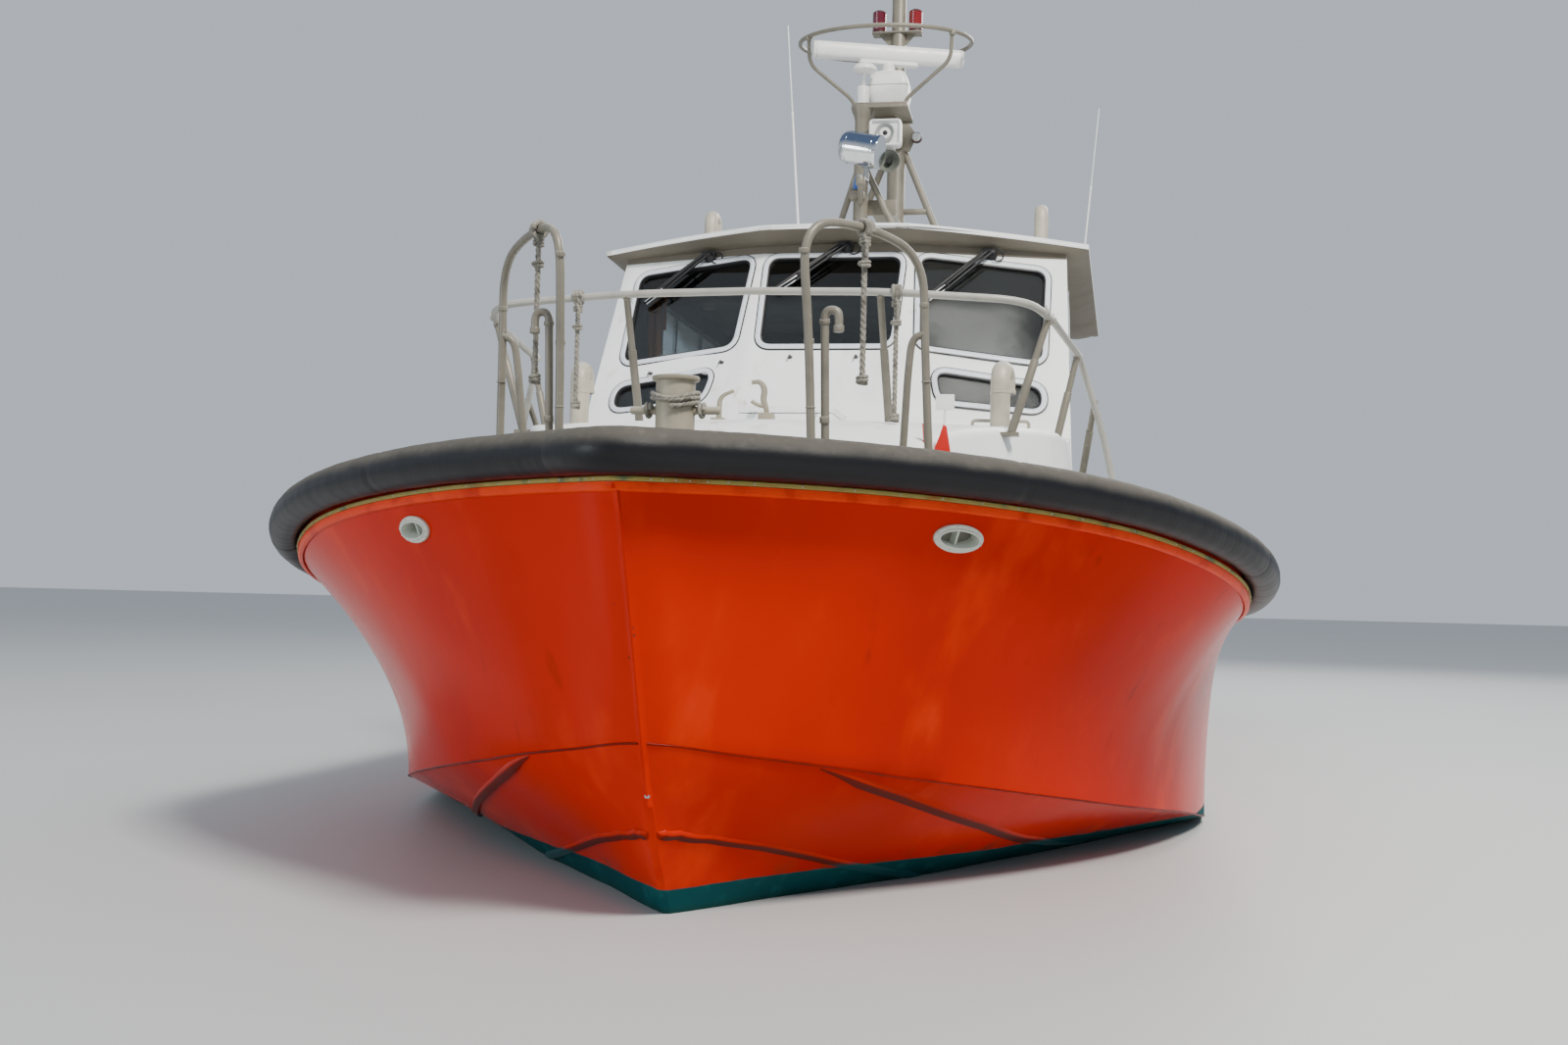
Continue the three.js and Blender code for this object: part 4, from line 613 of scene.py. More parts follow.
# A lighter copy of the beige rail paint: painted sunlight on the bow rail's tubes
SUNLIT_RAIL = beige_paint("rail with painted sunlight", (0.4, 0.385, 0.34))
BITT_PAINT = beige_paint("bitt paint", (0.33, 0.295, 0.22), 0.5)
CREAM = beige_paint("cream vent", (0.47, 0.43, 0.34), 0.5)
ALUMINIUM = metal("aluminium frame", "steel", (0.62, 0.63, 0.64), 0.35, (0.42, 0.42, 0.42))
STEEL = metal("satin steel", "steel", (0.42, 0.43, 0.44), 0.32, (0.22, 0.2, 0.18))
BRONZE = metal("dull bronze", "bronze", (0.3, 0.23, 0.14), 0.55, (0.13, 0.11, 0.075))
CHROME, GLASS, SALTED_GLASS, WOOD = sky_reflection_chrome(), clear_glass(), salted_glass(), wood()
BLACK = plastic("dull black", "dark_trim", (0.009, 0.009, 0.01), 0.5)
DARK = plastic("dark grey", "dark_trim", (0.06, 0.062, 0.066), 0.5)
RED_DARK = plastic("dark red housing", "dark_trim", (0.05, 0.012, 0.016), 0.45)
SEAT = plastic("dark seat cover", "dark_trim", (0.03, 0.035, 0.05), 0.6)
WHITE_PLASTIC = plastic("white housing", "white_plastic", (0.78, 0.78, 0.76), 0.32)
GREY_PLASTIC = plastic("grey housing", "white_plastic", (0.3, 0.31, 0.3), 0.45)
HORN_PAINT = plastic("horn grey green", "white_plastic", (0.11, 0.12, 0.1), 0.5)
# Near black for the inner faces of the walls: painted shade inside the wheelhouse
INSIDE_SHADE = plastic("wheelhouse inside, painted shade", "dark_trim", (0.05, 0.043, 0.035), 0.6)
INNER = plastic("wheelhouse lining", "beige_paint", (0.2, 0.185, 0.15), 0.7)
RED_PAINT = plastic("red screen", "red_lens", (0.55, 0.012, 0.004), 0.4)
BOTTOM_TEAL = plastic("teal bottom paint", "steel", (0.008, 0.1, 0.105), 0.6)
RED_LENS = lens("red lens", "red_lens", (0.2, 0.0015, 0.004))
MAGENTA_LENS = lens("magenta lens", "red_lens", (0.1, 0.0, 0.012))
BLUE_LENS = lens("blue lens", "blue_lens", (0.03, 0.12, 0.45))
CLEAR_LENS = lens("pale lens", "white_plastic", (0.55, 0.57, 0.58))
# Blue grey for the searchlight's glass: painted reflection of the sky
SKY_REFLECTION_LENS = lens("searchlight lens with painted sky reflection", "window_glass", (0.2, 0.26, 0.33))
ROPE = rope_paint("laid rope", "rope_fibre", (0.22, 0.205, 0.17))
ORANGE_WEB = rope_paint("orange webbing", "red_lens", (0.6, 0.13, 0.02))


# Camera, floor and light
def camera():
    yaw, pitch, roll = (math.radians(CAMERA[k]) for k in ("yaw", "pitch", "roll"))
    ahead = Vector((-math.sin(yaw) * math.cos(pitch), math.cos(yaw) * math.cos(pitch), math.sin(pitch)))
    right = Vector((math.cos(yaw), math.sin(yaw), 0))
    upward = right.cross(ahead)
    across = right * math.cos(roll) + upward * math.sin(roll)
    upright = upward * math.cos(roll) - right * math.sin(roll)
    data = bpy.data.cameras.new("camera")
    data.sensor_width = 36
    data.sensor_fit = "HORIZONTAL"
    data.lens = CAMERA["focal_px"] / PICTURE_WIDTH * data.sensor_width
    data.clip_end = 500
    made = linked("camera", data)
    turn = Matrix((across, upright, -ahead)).transposed().to_4x4()
    made.matrix_world = Matrix.Translation(CAMERA["place"]) @ turn
    bpy.context.scene.camera = made


def softbox(name, place, aim, size, watts, colour):
    data = bpy.data.lights.new(name, "AREA")
    data.shape = "RECTANGLE"
    data.size, data.size_y = size
    data.energy = watts
    data.color = colour
    made = linked(name, data)
    made.location = place
    made.rotation_euler = (Vector(aim) - Vector(place)).to_track_quat("-Z", "Y").to_euler()


def studio():
    mesh = bpy.data.meshes.new("floor")
    reach = 160
    mesh.from_pydata([(x, y, 0) for x, y in rectangle(reach, reach)], [], [(0, 1, 2, 3)])
    floor = linked("floor", mesh)
    made = Paint("pale floor", "", (0.46, 0.475, 0.48), 0.6)
    made.tint(made.noise(0.25, 2), (0.5, 0.51, 0.51))
    mesh.materials.append(made.material)
    world = bpy.data.worlds.new("studio")
    bpy.context.scene.world = world
    world.use_nodes = True
    sky = world.node_tree.nodes["Background"]
    sky.inputs["Color"].default_value = (0.8, 0.88, 0.98, 1)
    sky.inputs["Strength"].default_value = 0.66
    softbox("key", (13, -19, 24), (0, -3, 2.5), (6, 6), 12600, (1, 0.955, 0.885))
    softbox("fill", (-18, -20, 4), (0, -4, 1.5), (10, 7), 1500, (0.9, 0.95, 1))
    softbox("back", (9, 20, 16), (0, 0, 3), (10, 9), 3600, (1, 0.97, 0.93))


camera()
studio()


# Ropes
def laid_rope(path, radius):
    """Three strands laid round one another: the outline has three lobes that turn along the rope."""
    line = [Vector(p) for p in path]
    sides, offset, strand, lay = 18, 0.46 * radius, 0.54 * radius, 6.4 * radius
    rings, travelled = [], 0
    for i, (point, across, upward) in enumerate(frames(line)):
        travelled += (point - line[i - 1]).length if i else 0
        ring = []
        for angle in turns(sides):
            lobe = (angle + 2 * math.pi * travelled / lay) % (2 * math.pi / 3) - math.pi / 3
            size = offset * math.cos(lobe) + math.sqrt(strand ** 2 - (offset * math.sin(lobe)) ** 2)
            ring.append(point + (across * math.cos(angle) + upward * math.sin(angle)) * size)
        rings.append(ring)
    return loft(rings)


def evenly(path, step):
    """Points a step apart along a line."""
    line = [Vector(p) for p in path]
    result, carried = [line[0]], 0
    for start, end in zip(line, line[1:]):
        length = (end - start).length
        while length > 0 and carried + length >= step:
            start = start.lerp(end, (step - carried) / length)
            result.append(start)
            length, carried = (end - start).length, 0
        carried += length
    return result if (result[-1] - line[-1]).length < step * 0.3 else result + [line[-1]]


def whipping(centre, direction, ring, cord, count, pitch):
    """Turns of cord wound round a line."""
    axis = Vector(direction).normalized()
    across, upward = around(axis)
    steps = 16
    path = []
    for k in range(int(count * steps) + 1):
        angle = 2 * math.pi * k / steps
        path.append(Vector(centre) + axis * (pitch * k / steps)
                    + (across * math.cos(angle) + upward * math.sin(angle)) * ring)
    return sweep(path, cord, 8)


def cord(node, path, radius, ending, knots, lay):
    """A laid rope along a path and its knots, which stand for a node's cord."""
    rope = piece(node + "_laid", laid_rope(path, radius), ROPE, node, sharp=35)
    tied = piece(node + ending, knots, ROPE, node, sharp=35)
    length = sum((b - a).length for a, b in zip(path, path[1:]))
    [to_world(p) for p in path]


def hand_rope(node, x, y, top, low, bar, bar_radius):
    """A rope that hangs from a bar, with a hitch round the bar and a knot near its lower end."""
    size = 14
    line = bent(bar, 230)
    near = min(range(1, len(line) - 1), key=lambda i: (line[i] - Vector((x, y, top + bar_radius))).length)
    along = (line[near + 1] - line[near - 1]).normalized()
    centre = Vector((x, y, top + bar_radius + 1))
    tail = evenly([(x - 3, y - 27, top - 8), (x + 12, y - 27, top - 50), (x + 12, y - 26, top - 146)], 6)
    knots = joined(whipping(centre - along * 24, along, bar_radius + size, size - 1, 2.6, 18),
                   whipping((x, y, top - 22), DOWN, size + 8, 8, 2.5, 15),
                   whipping((x, y, low + 40), DOWN, size + 8, 10, 2.2, 17),
                   laid_rope(tail, size * 0.75), whipping((x, y - 5, top - 136), DOWN, size + 10, 9, 1.6, 17))
    cord(node, evenly([(x, y, top), (x, y, low)], 6), size + 1, "_knots", knots, "hanging")


def bitt_rope():
    """Loose turns round the bitt above its pin, each tilted its own way."""
    ring, count, steps = 107, 2.6, 40
    path = []
    for k in range(int(count * steps) + 1):
        turn = k / steps
        angle = 2 * math.pi * turn - math.pi / 2
        front = max(-math.sin(angle), 0) ** 2
        dip = front * (26 + 8 * math.sin(4 * turn)) + 5 * math.cos(angle)
        path.append((ring * math.cos(angle), BITT["y"] + ring * math.sin(angle), 2372 + 22 * turn - dip))
    path = evenly(path, 6)
    pin = Vector((0, BITT["y"], BITT["pin_up"]))
    knots = joined(dome(path[-1], (0, 1, 0.2), 17, 22, 14, 4), dome(path[-1], (0, -1, -0.2), 17, 10, 14, 4),
                   *[whipping(pin + Vector((s * 112, 0, 0)), (s, 0, 0), 30, 10, 1.5, 20) for s in (-1, 1)])
    cord("bitt_rope", path, 12, "_knot", knots, "coiled")


BOW_RAIL = [(-10, 1650, 3215), (740, 1680, 3210), (1560, 1720, 3160), (1690, 2100, 3120), (1860, 3400, 3085),
            (2040, 3600, 2530), (2250, 3750, 1400)]
HOOP = [(625, 175, 1800), (605, 80, 2650), (580, -55, 3225), (860, 310, 3262), (1085, 570, 3165),
        (1095, 620, 2760), (1135, 740, 1800)]
FAR_HOOP, FAR_RAIL = ([(-x, y, z) for x, y, z in line] for line in (HOOP, BOW_RAIL))
hand_rope("hoop_rope_port", 832, 270, 3224.2, 2500, HOOP, 21)
hand_rope("hoop_rope_starboard", -765, 182, 3224.2, 2492, FAR_HOOP, 21)
hand_rope("rail_rope_port", 833, 1683, 3180.5, 2475, BOW_RAIL, 22)
hand_rope("rail_rope_starboard", -1035, 1697, 3169.1, 2545, FAR_RAIL, 22)
bitt_rope()


# Hull lines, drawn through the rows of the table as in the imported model
def line_at(line, row):
    points = [Vector((r[line][1], r[line][0], r[line][2])) for r in HULL_TABLE]
    low = min(int(row), LAST_ROW - 1)
    share = row - low
    p1, p2 = points[low], points[low + 1]
    p0 = points[low - 1] if low else 2 * p1 - p2
    p3 = points[low + 2] if low + 2 <= LAST_ROW else 2 * p2 - p1
    g0, g1, g2 = (math.sqrt((b - a).length) or 1.0 for a, b in ((p0, p1), (p1, p2), (p2, p3)))
    first = ((p1 - p0) / g0 - (p2 - p0) / (g0 + g1) + (p2 - p1) / g1) * g1
    last = ((p2 - p1) / g1 - (p3 - p1) / (g1 + g2) + (p3 - p2) / g2) * g1
    square = -3 * p1 + 3 * p2 - 2 * first - last
    cube = 2 * p1 - 2 * p2 + first + last
    return p1 + first * share + square * share ** 2 + cube * share ** 3


def edge_normal(row):
    """A point of the deck's edge and the level direction out of it."""
    step = 0.06
    before, after = line_at(DECK, max(row - step, 0)), line_at(DECK, min(row + step, LAST_ROW))
    normal = Vector(((after - before).y, -(after - before).x, 0)).normalized()
    if row < 0.5:
        normal = normal.lerp(Vector(FORE), 1 - row / 0.5).normalized()
    return line_at(DECK, row), normal


def edge_point(row, out, rise):
    here, normal = edge_normal(row)
    return here + normal * out + Vector((0, 0, rise))


def flare_points(row):
    """Chine, middle and upper end of the topside. The middle is drawn in by the hollow."""
    low = min(int(row), LAST_ROW - 1)
    hollow = HULL_TABLE[low][4] + (HULL_TABLE[low + 1][4] - HULL_TABLE[low][4]) * (row - low)
    chine, under = line_at(CHINE, row), edge_point(row, 0, LIP_BOTTOM)
    middle = (chine + under) / 2
    middle.x = max(middle.x - hollow, chine.x / 2)
    return chine, middle, under


FLARE_STEPS, ROW_STEPS = 14, 8
ROWS = [i / ROW_STEPS for i in range(STRAIGHT_ROW * ROW_STEPS)]
ROWS += [STRAIGHT_ROW + i / 4 for i in range((LAST_ROW - STRAIGHT_ROW) * 4 + 1)]
LIP = ((LIP_OUT, LIP_BOTTOM), (LIP_OUT, LIP_TOP), (0, LIP_TOP), (0, RIM_RISE - 8), (-3, RIM_RISE - 2),
       (-9, RIM_RISE))


def hull_ring(row):
    keel, inner = line_at(KEEL, row), line_at(SPRAY, row)
    chine, middle, under = flare_points(row)
    half = [keel.lerp(inner, k / 3) for k in range(3)] + [inner.lerp(chine, k / 3) for k in range(3)]
    half += arc(chine, 2 * middle - (chine + under) / 2, under, FLARE_STEPS)
    half += [edge_point(row, out, rise) for out, rise in LIP]
    edge = half[-1]
    half += [Vector((edge.x * s, edge.y, edge.z + CAMBER * (1 - s * s))) for s in (0.75, 0.5, 0.25)]
    return half + [Vector((0, edge.y, edge.z + CAMBER))] + flip(reversed(half))


def stem_nose():
    """The ring ahead of the first one, drawn in so that the stem is narrow."""
    ring = hull_ring(0)
    below_lip = 6 + FLARE_STEPS + 1
    ahead = [20 if min(i, len(ring) - 1 - i) < below_lip else 0 for i in range(len(ring))]
    return [Vector((p.x * 0.2, p.y - step, p.z)) for p, step in zip(ring, ahead)]


def along_edge(section):
    """A section of (out, rise) points led along the deck's edge, from stem to stern."""
    return [[edge_point(row, out, rise) for out, rise in section] for row in ROWS]


def round_bow(port, starboard=None):
    """Rings of the port side joined to those of the other side round the stem."""
    return loft([flip(ring) for ring in reversed((starboard or port)[1:])] + port)


# The mouths in the bow for mooring lines
def straight_flare(row, share):
    """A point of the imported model's topside, which is straight above its middle point."""
    low = math.floor(row * 2) / 2
    mix = (row - low) * 2
    (_, middle, under), (_, next_middle, next_under) = flare_points(low), flare_points(low + 0.5)
    return middle.lerp(next_middle, mix).lerp(under.lerp(next_under, mix), share)


def hawse_place():
    """The mouth's own axes: along the boat, up the flare and out of it."""
    row, share = HAWSE["row"], HAWSE["share"]
    along = (straight_flare(row + 0.4, share) - straight_flare(row - 0.4, share)).normalized()
    near = round(row * 2) / 2
    upward = (straight_flare(near, 1) - straight_flare(near, 0)).normalized()
    outward = along.cross(upward).normalized()
    turn = Matrix((along, outward.cross(along), outward)).transposed().to_4x4()
    return Matrix.Translation(straight_flare(row, share)) @ turn


def ovals(profile, closed=False):
    """Ovals of (half length, half height, out) round the mouth, joined in order."""
    place = hawse_place()
    return loft([[place @ Vector((long * math.cos(a), high * math.sin(a), out)) for a in turns(40)]
                 for long, high, out in profile], closed)


def hull_shell():
    obj = piece("hull_shell", loft([stem_nose()] + [hull_ring(row) for row in ROWS]), HULL, "hull", sharp=28)
    long, high = HAWSE["long"] + 2, HAWSE["high"] + 2
    hole = make_object("hawse_cut", ovals([(long, high, -HAWSE["deep"]), (long, high, 120)]).both_sides())
    cut = obj.modifiers.new("hawse", "BOOLEAN")
    cut.operation = "DIFFERENCE"
    cut.solver = "EXACT"
    cut.object = hole
    applied(obj)
    bpy.data.objects.remove(hole)
    deck_up = 1.3
    paint_second(obj, NONSKID, lambda face: face.normal.z > 0.9 and face.center.z > deck_up)
    smooth(obj, 28)


def hawse_fittings():
    long, high, rim = HAWSE["long"], HAWSE["high"], HAWSE["rim"]
    flange = ovals([
        (long + rim, high + rim, -8), (long + rim, high + rim, 6), (long + rim - 4, high + rim - 4, 10),
        (long + 8, high + 8, 11), (long + 2, high + 2, 18), (long - 5, high - 5, 18), (long - 9, high - 9, 6),
        (long - 10, high - 10, -58)], closed=True)
    place = hawse_place()
    fin = block(-5, 5, -high + 12, high - 12, -56, -12).placed(place)
    bolts = Shape()
    for k in range(12):
        angle = 2 * math.pi * (k + 0.5) / 12
        spot = Vector(((long + 14) * math.cos(angle), (high + 14) * math.sin(angle), 10))
        bolts.add(dome(place @ spot, place.to_3x3() @ Vector(UP), 6, 5, 10, 3))
    piece("hawse_flanges", joined(flange, fin, bolts).both_sides(), CAST, "hull")
    bowl = ovals([(long - 9, high - 9, -56), (long - 30, high - 22, -59)])
    piece("hawse_bowls", bowl.both_sides(), CAST_DARK, "hull", sharp=35)


# Spray rails along the bottom, as stops of (row, share), where the share is 0 at the keel,
# 1 at the inner spray line and 2 at the chine
INNER_RAIL = [(0.9, 0.06), (2, 0.6), (3.05, 0.95), (4, 1.03), (5.4, 1.05), (6.55, 1.03), (8, 1.0),
              (9.35, 0.98), (10.9, 0.9)]
OUTER_RAIL = [(4.5, 1.97), (5.5, 1.88), (6.8, 1.79), (8, 1.69), (9.1, 1.61), (11, 1.4), (12.5, 1.15)]
BAR_SECTION = ((-1, 1), (0.7, 1), (1, 0.75), (1, 0.1), (0.8, -0.15), (-0.2, -0.9))


def bottom_point(row, share):
    inner = line_at(SPRAY, row)
    return line_at(KEEL, row).lerp(inner, share) if share < 1 else inner.lerp(line_at(CHINE, row), share - 1)


def spray_bar(stops, size):
    """A bar along the bottom through its stops, drawn thin at both ends."""
    steps = 8
    line = []
    for (row0, share0), (row1, share1) in zip(stops, stops[1:]):
        line += [(row0 + (row1 - row0) * k / steps, share0 + (share1 - share0) * k / steps)
                 for k in range(steps)]
    line.append(stops[-1])
    rings = []
    for i, (row, share) in enumerate(line):
        here = size * min(1, (i + 2) / 10, (len(line) + 1 - i) / 10)
        rings.append([bottom_point(row, share) + Vector((dx * here, 0, dz * here)) for dx, dz in BAR_SECTION])
    return loft(rings)


def shaft_point(distance):
    """A point of the port propeller shaft, a distance ahead of the propeller."""
    slope = math.atan2(400, 2350)
    return Vector((PROPELLER["half"], PROPELLER["aft"] - distance * math.cos(slope),
                   PROPELLER["up"] + distance * math.sin(slope)))


def hull_details():
    rails = joined(spray_bar(INNER_RAIL, 24), spray_bar(OUTER_RAIL, 30))
    piece("spray_rails", rails.both_sides(), RAIL_ORANGE, "hull")
    keel_rows = [(700, -560), (1900, -880), (4200, -1010), (9000, -1090), (13200, -1130), (13900, -1000)]
    keel = loft([[(-28, y, -300), (28, y, -300), (28, y, z + 14), (14, y, z), (-14, y, z), (-28, y, z + 14)]
                 for y, z in keel_rows])
    piece("keel_bar", keel, HULL, "hull")
    # The chine bead is dark as painted shade along the knuckle
    weld = sweep([line_at(CHINE, row) + Vector((0.5, 0, 0)) for row in ROWS if row <= STRAIGHT_ROW], 6, 6)
    piece("chine_weld", weld.both_sides(), CHINE_SHADE_ORANGE, "hull", sharp=60)
    ledge = along_edge([(0.4, -162), (20, -158), (27, -150), (28, -121), (0.4, -121)])
    piece("hull_ledge", round_bow(ledge), LEDGE_ORANGE, "hull")
    gland = lathe([(0, 75), (392, 75), (400, 72), (430, 60)], (RUDDER["half"], RUDDER["aft"], 0), DOWN, 24)
    tube = rod(shaft_point(2150), shaft_point(2750), 62, 24, soft=8)
    boss = rod(shaft_point(120), shaft_point(330), 60, 24, soft=8)
    middle, hull_up = shaft_point(225), -100
    struts = Shape()
    for spread in (-210, 210):
        rings = []
        for share in (0, 0.5, 1):
            chord = 70 + 20 * share
            spot = Vector((middle.x + spread * share, middle.y, middle.z + (hull_up - middle.z) * share))
            rings.append([spot + Vector((12 * math.sin(a), chord * (0.8 * math.cos(a) + 0.2), 0))
                          for a in turns(16)])
        struts.add(loft(rings))
    piece("under_fittings", joined(gland, tube, boss, struts).both_sides(), HULL, "hull")
    # Small black domes stand for holes in the stem: painted shade inside the holes
    holes = Shape()
    for x, y, z, radius in ((8, -707, 1338, 7), (8, -693, 1305, 7), (-84, -694, 1433, 4),
                            (-26, -635, 1208, 5)):
        holes.add(dome((x, y, z), (math.copysign(0.6, x), -0.75, -0.3), radius, 2, 12, 3))
    piece("stem_holes", holes, BLACK, "hull", sharp=35)
    piece("stem_bolt", dome((0, -364, 590), (0, -1, -0.3), 13, 9, 16, 4), STEEL, "hull", sharp=35)


FENDER_SEAMS = ((5.2, 9.6, 13.4, 15.2, 16.6), (1.9, 4.9, 9.1, 13.2, 15.1, 16.8))


def fender_ring(row, seams):
    """A section of the fender, drawn in at its seams and wrinkled where the deck's edge straightens."""
    sides, seam_depth, seam_width = 30, 0.05, 0.035
    seat = math.acos((0.5 - FENDER_SEAT) / FENDER_RADIUS)
    here, normal = edge_normal(row)
    groove = 1 - seam_depth * sum(math.exp(-((row - seam) / seam_width) ** 2) for seam in seams)
    swell = 1 + 0.006 * math.sin(row * 9 + 0.3) + 0.004 * math.sin(row * 23 + 1.7)
    ring = []
    for k in range(sides + 1):
        angle = -seat + 2 * seat * k / sides
        wrinkle = 0.012 * math.sin(row * 60 + angle * 2 + 4.1) * math.exp(-((row - 8.6) / 1.2) ** 2)
        size = FENDER_RADIUS * min(groove * swell + wrinkle - 0.014, 1.0)
        out = max(FENDER_SEAT + size * math.cos(angle), 0.4)
        ring.append(here + normal * out + Vector((0, 0, size * math.sin(angle))))
    return ring


def fender():
    fine = sorted(set(ROWS + [k / 24 for k in range(48, 300)]))
    port, starboard = ([fender_ring(row, seams) for row in fine] for seams in FENDER_SEAMS)
    piece("fender_roll", round_bow(port, starboard), RUBBER, "fender", sharp=50)
    strip = along_edge([(0.3, -119), (31, -119), (35, -115), (36, -102), (33, -98), (0.3, -96)])
    piece("fender_strip_metal", round_bow(strip), STRIP, "fender_strip")
    bolts = Shape()
    for k in range(6, STRAIGHT_ROW * ROW_STEPS, 3):
        here, normal = edge_normal(k / ROW_STEPS + 0.06)
        bolts.add(dome(here + normal * 34 + Vector((0, 0, -108)), normal, 5, 4, 10, 3))
    piece("fender_strip_bolts", bolts.both_sides(), STEEL, "fender_strip", sharp=35)


hull_shell()
hawse_fittings()
hull_details()
fender()


# Cleats, air pipes, vents and rails on the deck
def cleat_shape(x, y, base):
    half, rise, thick = 150, 50, 15
    horn = [(s * half * far, 0, rise + lift) for s, far, lift in (
        (-1, 1, 40), (-1, 0.8, 22), (-1, 0.45, 0), (1, 0.45, 0), (1, 0.8, 22), (1, 1, 40))]
    leg = [(-30, 30), (-10, 27), (0, thick * 1.2), (rise * 0.6, thick), (rise, thick)]
    horn = sweep(bent(horn, 40, 4), lambda share: thick * (0.55 + 0.6 * math.sin(math.pi * share)), 16)
    shape = joined(horn, *[lathe(leg, (at, 0, 0), UP, 16) for at in (-half * 0.35, half * 0.35)],
                   slab(rectangle(half * 0.55, 30), -20, 2))
    return shape.placed(Matrix.Translation((x, y, base)) @ Matrix.Rotation(math.radians(90), 4, "Z"))


def foot_flange(place, radius):
    profile = [(0, radius + 22), (7, radius + 22), (10, radius + 19), (12, radius + 6), (26, radius + 1)]
    return lathe(profile, place, UP, 20)


def deck_fittings():
    cleats = joined(cleat_shape(2520, 8200, 1500), cleat_shape(2350, 15200, 1500))
    piece("deck_cleats", cleats.both_sides(), BRONZE, "hull")
    ear = [(-36, 1930, 2728), (12, 1945, 2736), (40, 1950, 2690), (28, 1955, 2625), (52, 1960, 2570),
           (46, 1960, 2510)]
    tongue = [(-36, 1930, 2618), (0, 1945, 2596), (40, 1960, 2590)]
    horn = [(-312, 2300, 2520), (-308, 2300, 2690), (-222, 2300, 2726)]
    cleats = joined(sweep(bent(ear, 30, 5), lambda share: 13 + 6 * math.sin(math.pi * share), 16),
                    sweep(bent(tongue, 30, 5), 12, 14),
                    sweep(bent(horn, 45, 6), lambda share: 17 - 6 * share, 16),
                    block(10, 90, 1900, 2020, 2500, 2548), block(-350, -272, 2240, 2360, 2520, 2556))
    piece("trunk_cleats", cleats, BITT_PAINT, "foredeck_trunk", bevel=3)
    pipes = joined(pipe([(680, 215, 1800), (672, 97, 2825), (740, 92, 2825), (740, 94, 2720)], 20, 45),
                   rod((672.5, 104, 2762), (672, 98, 2782), 25, 18, soft=2),
                   rod((740, 94, 2752), (740, 94, 2722), 25, 18, soft=2),
                   rod((675, 150, 2300), (674, 145, 2330), 24, 18, soft=2))
    piece("air_pipes", pipes.both_sides(), BEIGE, "hull")
    neck = [(1370, 2840, 2300), (1370, 2845, 2935), (1394, 3025, 2935), (1394, 3025, 2800)]
    vent = joined(pipe(neck, 62, 95, 28), lathe([(0, 62), (4, 66), (20, 66), (24, 62)], (1394, 3025, 2798)),
                  lathe([(0, 61), (4, 66), (14, 66), (18, 61)], (1370, 2844, 2775)),
                  foot_flange((1370, 2840, 2545), 64))
    piece("deck_vents", vent.both_sides(), CREAM, "foredeck_trunk")
    # A black disc in each cowl's mouth: painted shade inside the vent
    mouth = lathe([(0, 56), (2, 56)], (1394, 3025, 2797.5))
    piece("deck_vent_mouths", mouth.both_sides(), BLACK, "foredeck_trunk", sharp=35)


def collar(start, end, radius):
    """A band round a tube, with the head of its screw."""
    start, end = Vector(start), Vector(end)
    side = around((end - start).normalized())[1]
    middle = (start + end) / 2
    return joined(rod(start, end, radius, 20, soft=3),
                  rod(middle + side * (radius - 2), middle + side * (radius + 16), 7, 12, soft=1))


def bow_metalwork():
    posts = Shape()
    welds = Shape()
    for first, last in (((740, 1680, 3205), (760, 2180, 2380)), ((1672, 2080, 3115), (1472, 2045, 2452)),
                        ((1842, 3260, 3085), (1690, 3240, 2400)), ((1962, 3510, 2820), (1880, 3900, 2300))):
        first, last = Vector(first), Vector(last)
        along = (last - first).normalized()
        posts.add(rod(first, last, 20, 18), rod(first.lerp(last, 0.36), last, 25, 20, soft=4))
        welds.add(ring_at(first + along * 22, along, 20, 4, 20))
    posts.add(welds, foot_flange((758, 2135, 2468), 25), block(1350, 1516, 2006, 2086, 2432, 2452))
    rail = joined(pipe(BOW_RAIL, 22, 200, 20), collar((1652, 1965, 3140), (1664, 2005, 3134), 26),
                  collar((1694, 2140, 3117), (1698, 2170, 3116), 26),
                  collar((1850, 3352, 3088), (1857, 3385, 3084), 26))
    # The tubes take the lighter copy of the rail paint as painted sunlight; the posts keep the darker one
    piece("bow_rail_tubes", rail.both_sides(), SUNLIT_RAIL, "bow_rail")
    piece("bow_rail_posts", posts.both_sides(), BEIGE, "bow_rail")
    brace = [(1094, 613, 2796), (1030, 620, 2772), (1012, 645, 2600), (960, 780, 1800)]
    hoop = joined(pipe(HOOP, 21, 230, 20), pipe(brace, 19, 70, 18))
    for corner, share in ((1, 0.73), (1, 0.02), (4, 0.54)):
        start, end = Vector(HOOP[corner]), Vector(HOOP[corner + 1])
        band_end = share + 26 / (end - start).length
        hoop.add(rod(start.lerp(end, share), start.lerp(end, band_end), 24.5, 20, soft=4))
    hoop.add(ring_at((612, 112, 2370), (20, 95, -850), 21, 4, 20),
             ring_at((1102, 640, 2560), (40, 120, -960), 21, 4, 20))
    pair("boarding_hoop_tubes", hoop, BEIGE, "boarding_hoop")
    y, top, radius, pin_up, pin_half = (BITT[k] for k in ("y", "top", "radius", "pin_up", "pin_half"))
    post = lathe([(1750, radius + 6), (1762, radius), (2340, radius), (top - 26, radius), (top - 22, 108),
                  (top - 18, 111), (top - 6, 112), (top - 2, 109), (top, 100)], (0, y, 0), UP, 40)
    post.add(rod((-pin_half, y, pin_up), (pin_half, y, pin_up), 19, 20, soft=9),
             *[ring_at((s * (radius + 1), y, pin_up), PORT, 20, 4, 20) for s in (-1, 1)])
    piece("bitt_post", post, BITT_PAINT, "bow_bitt")


deck_fittings()
bow_metalwork()

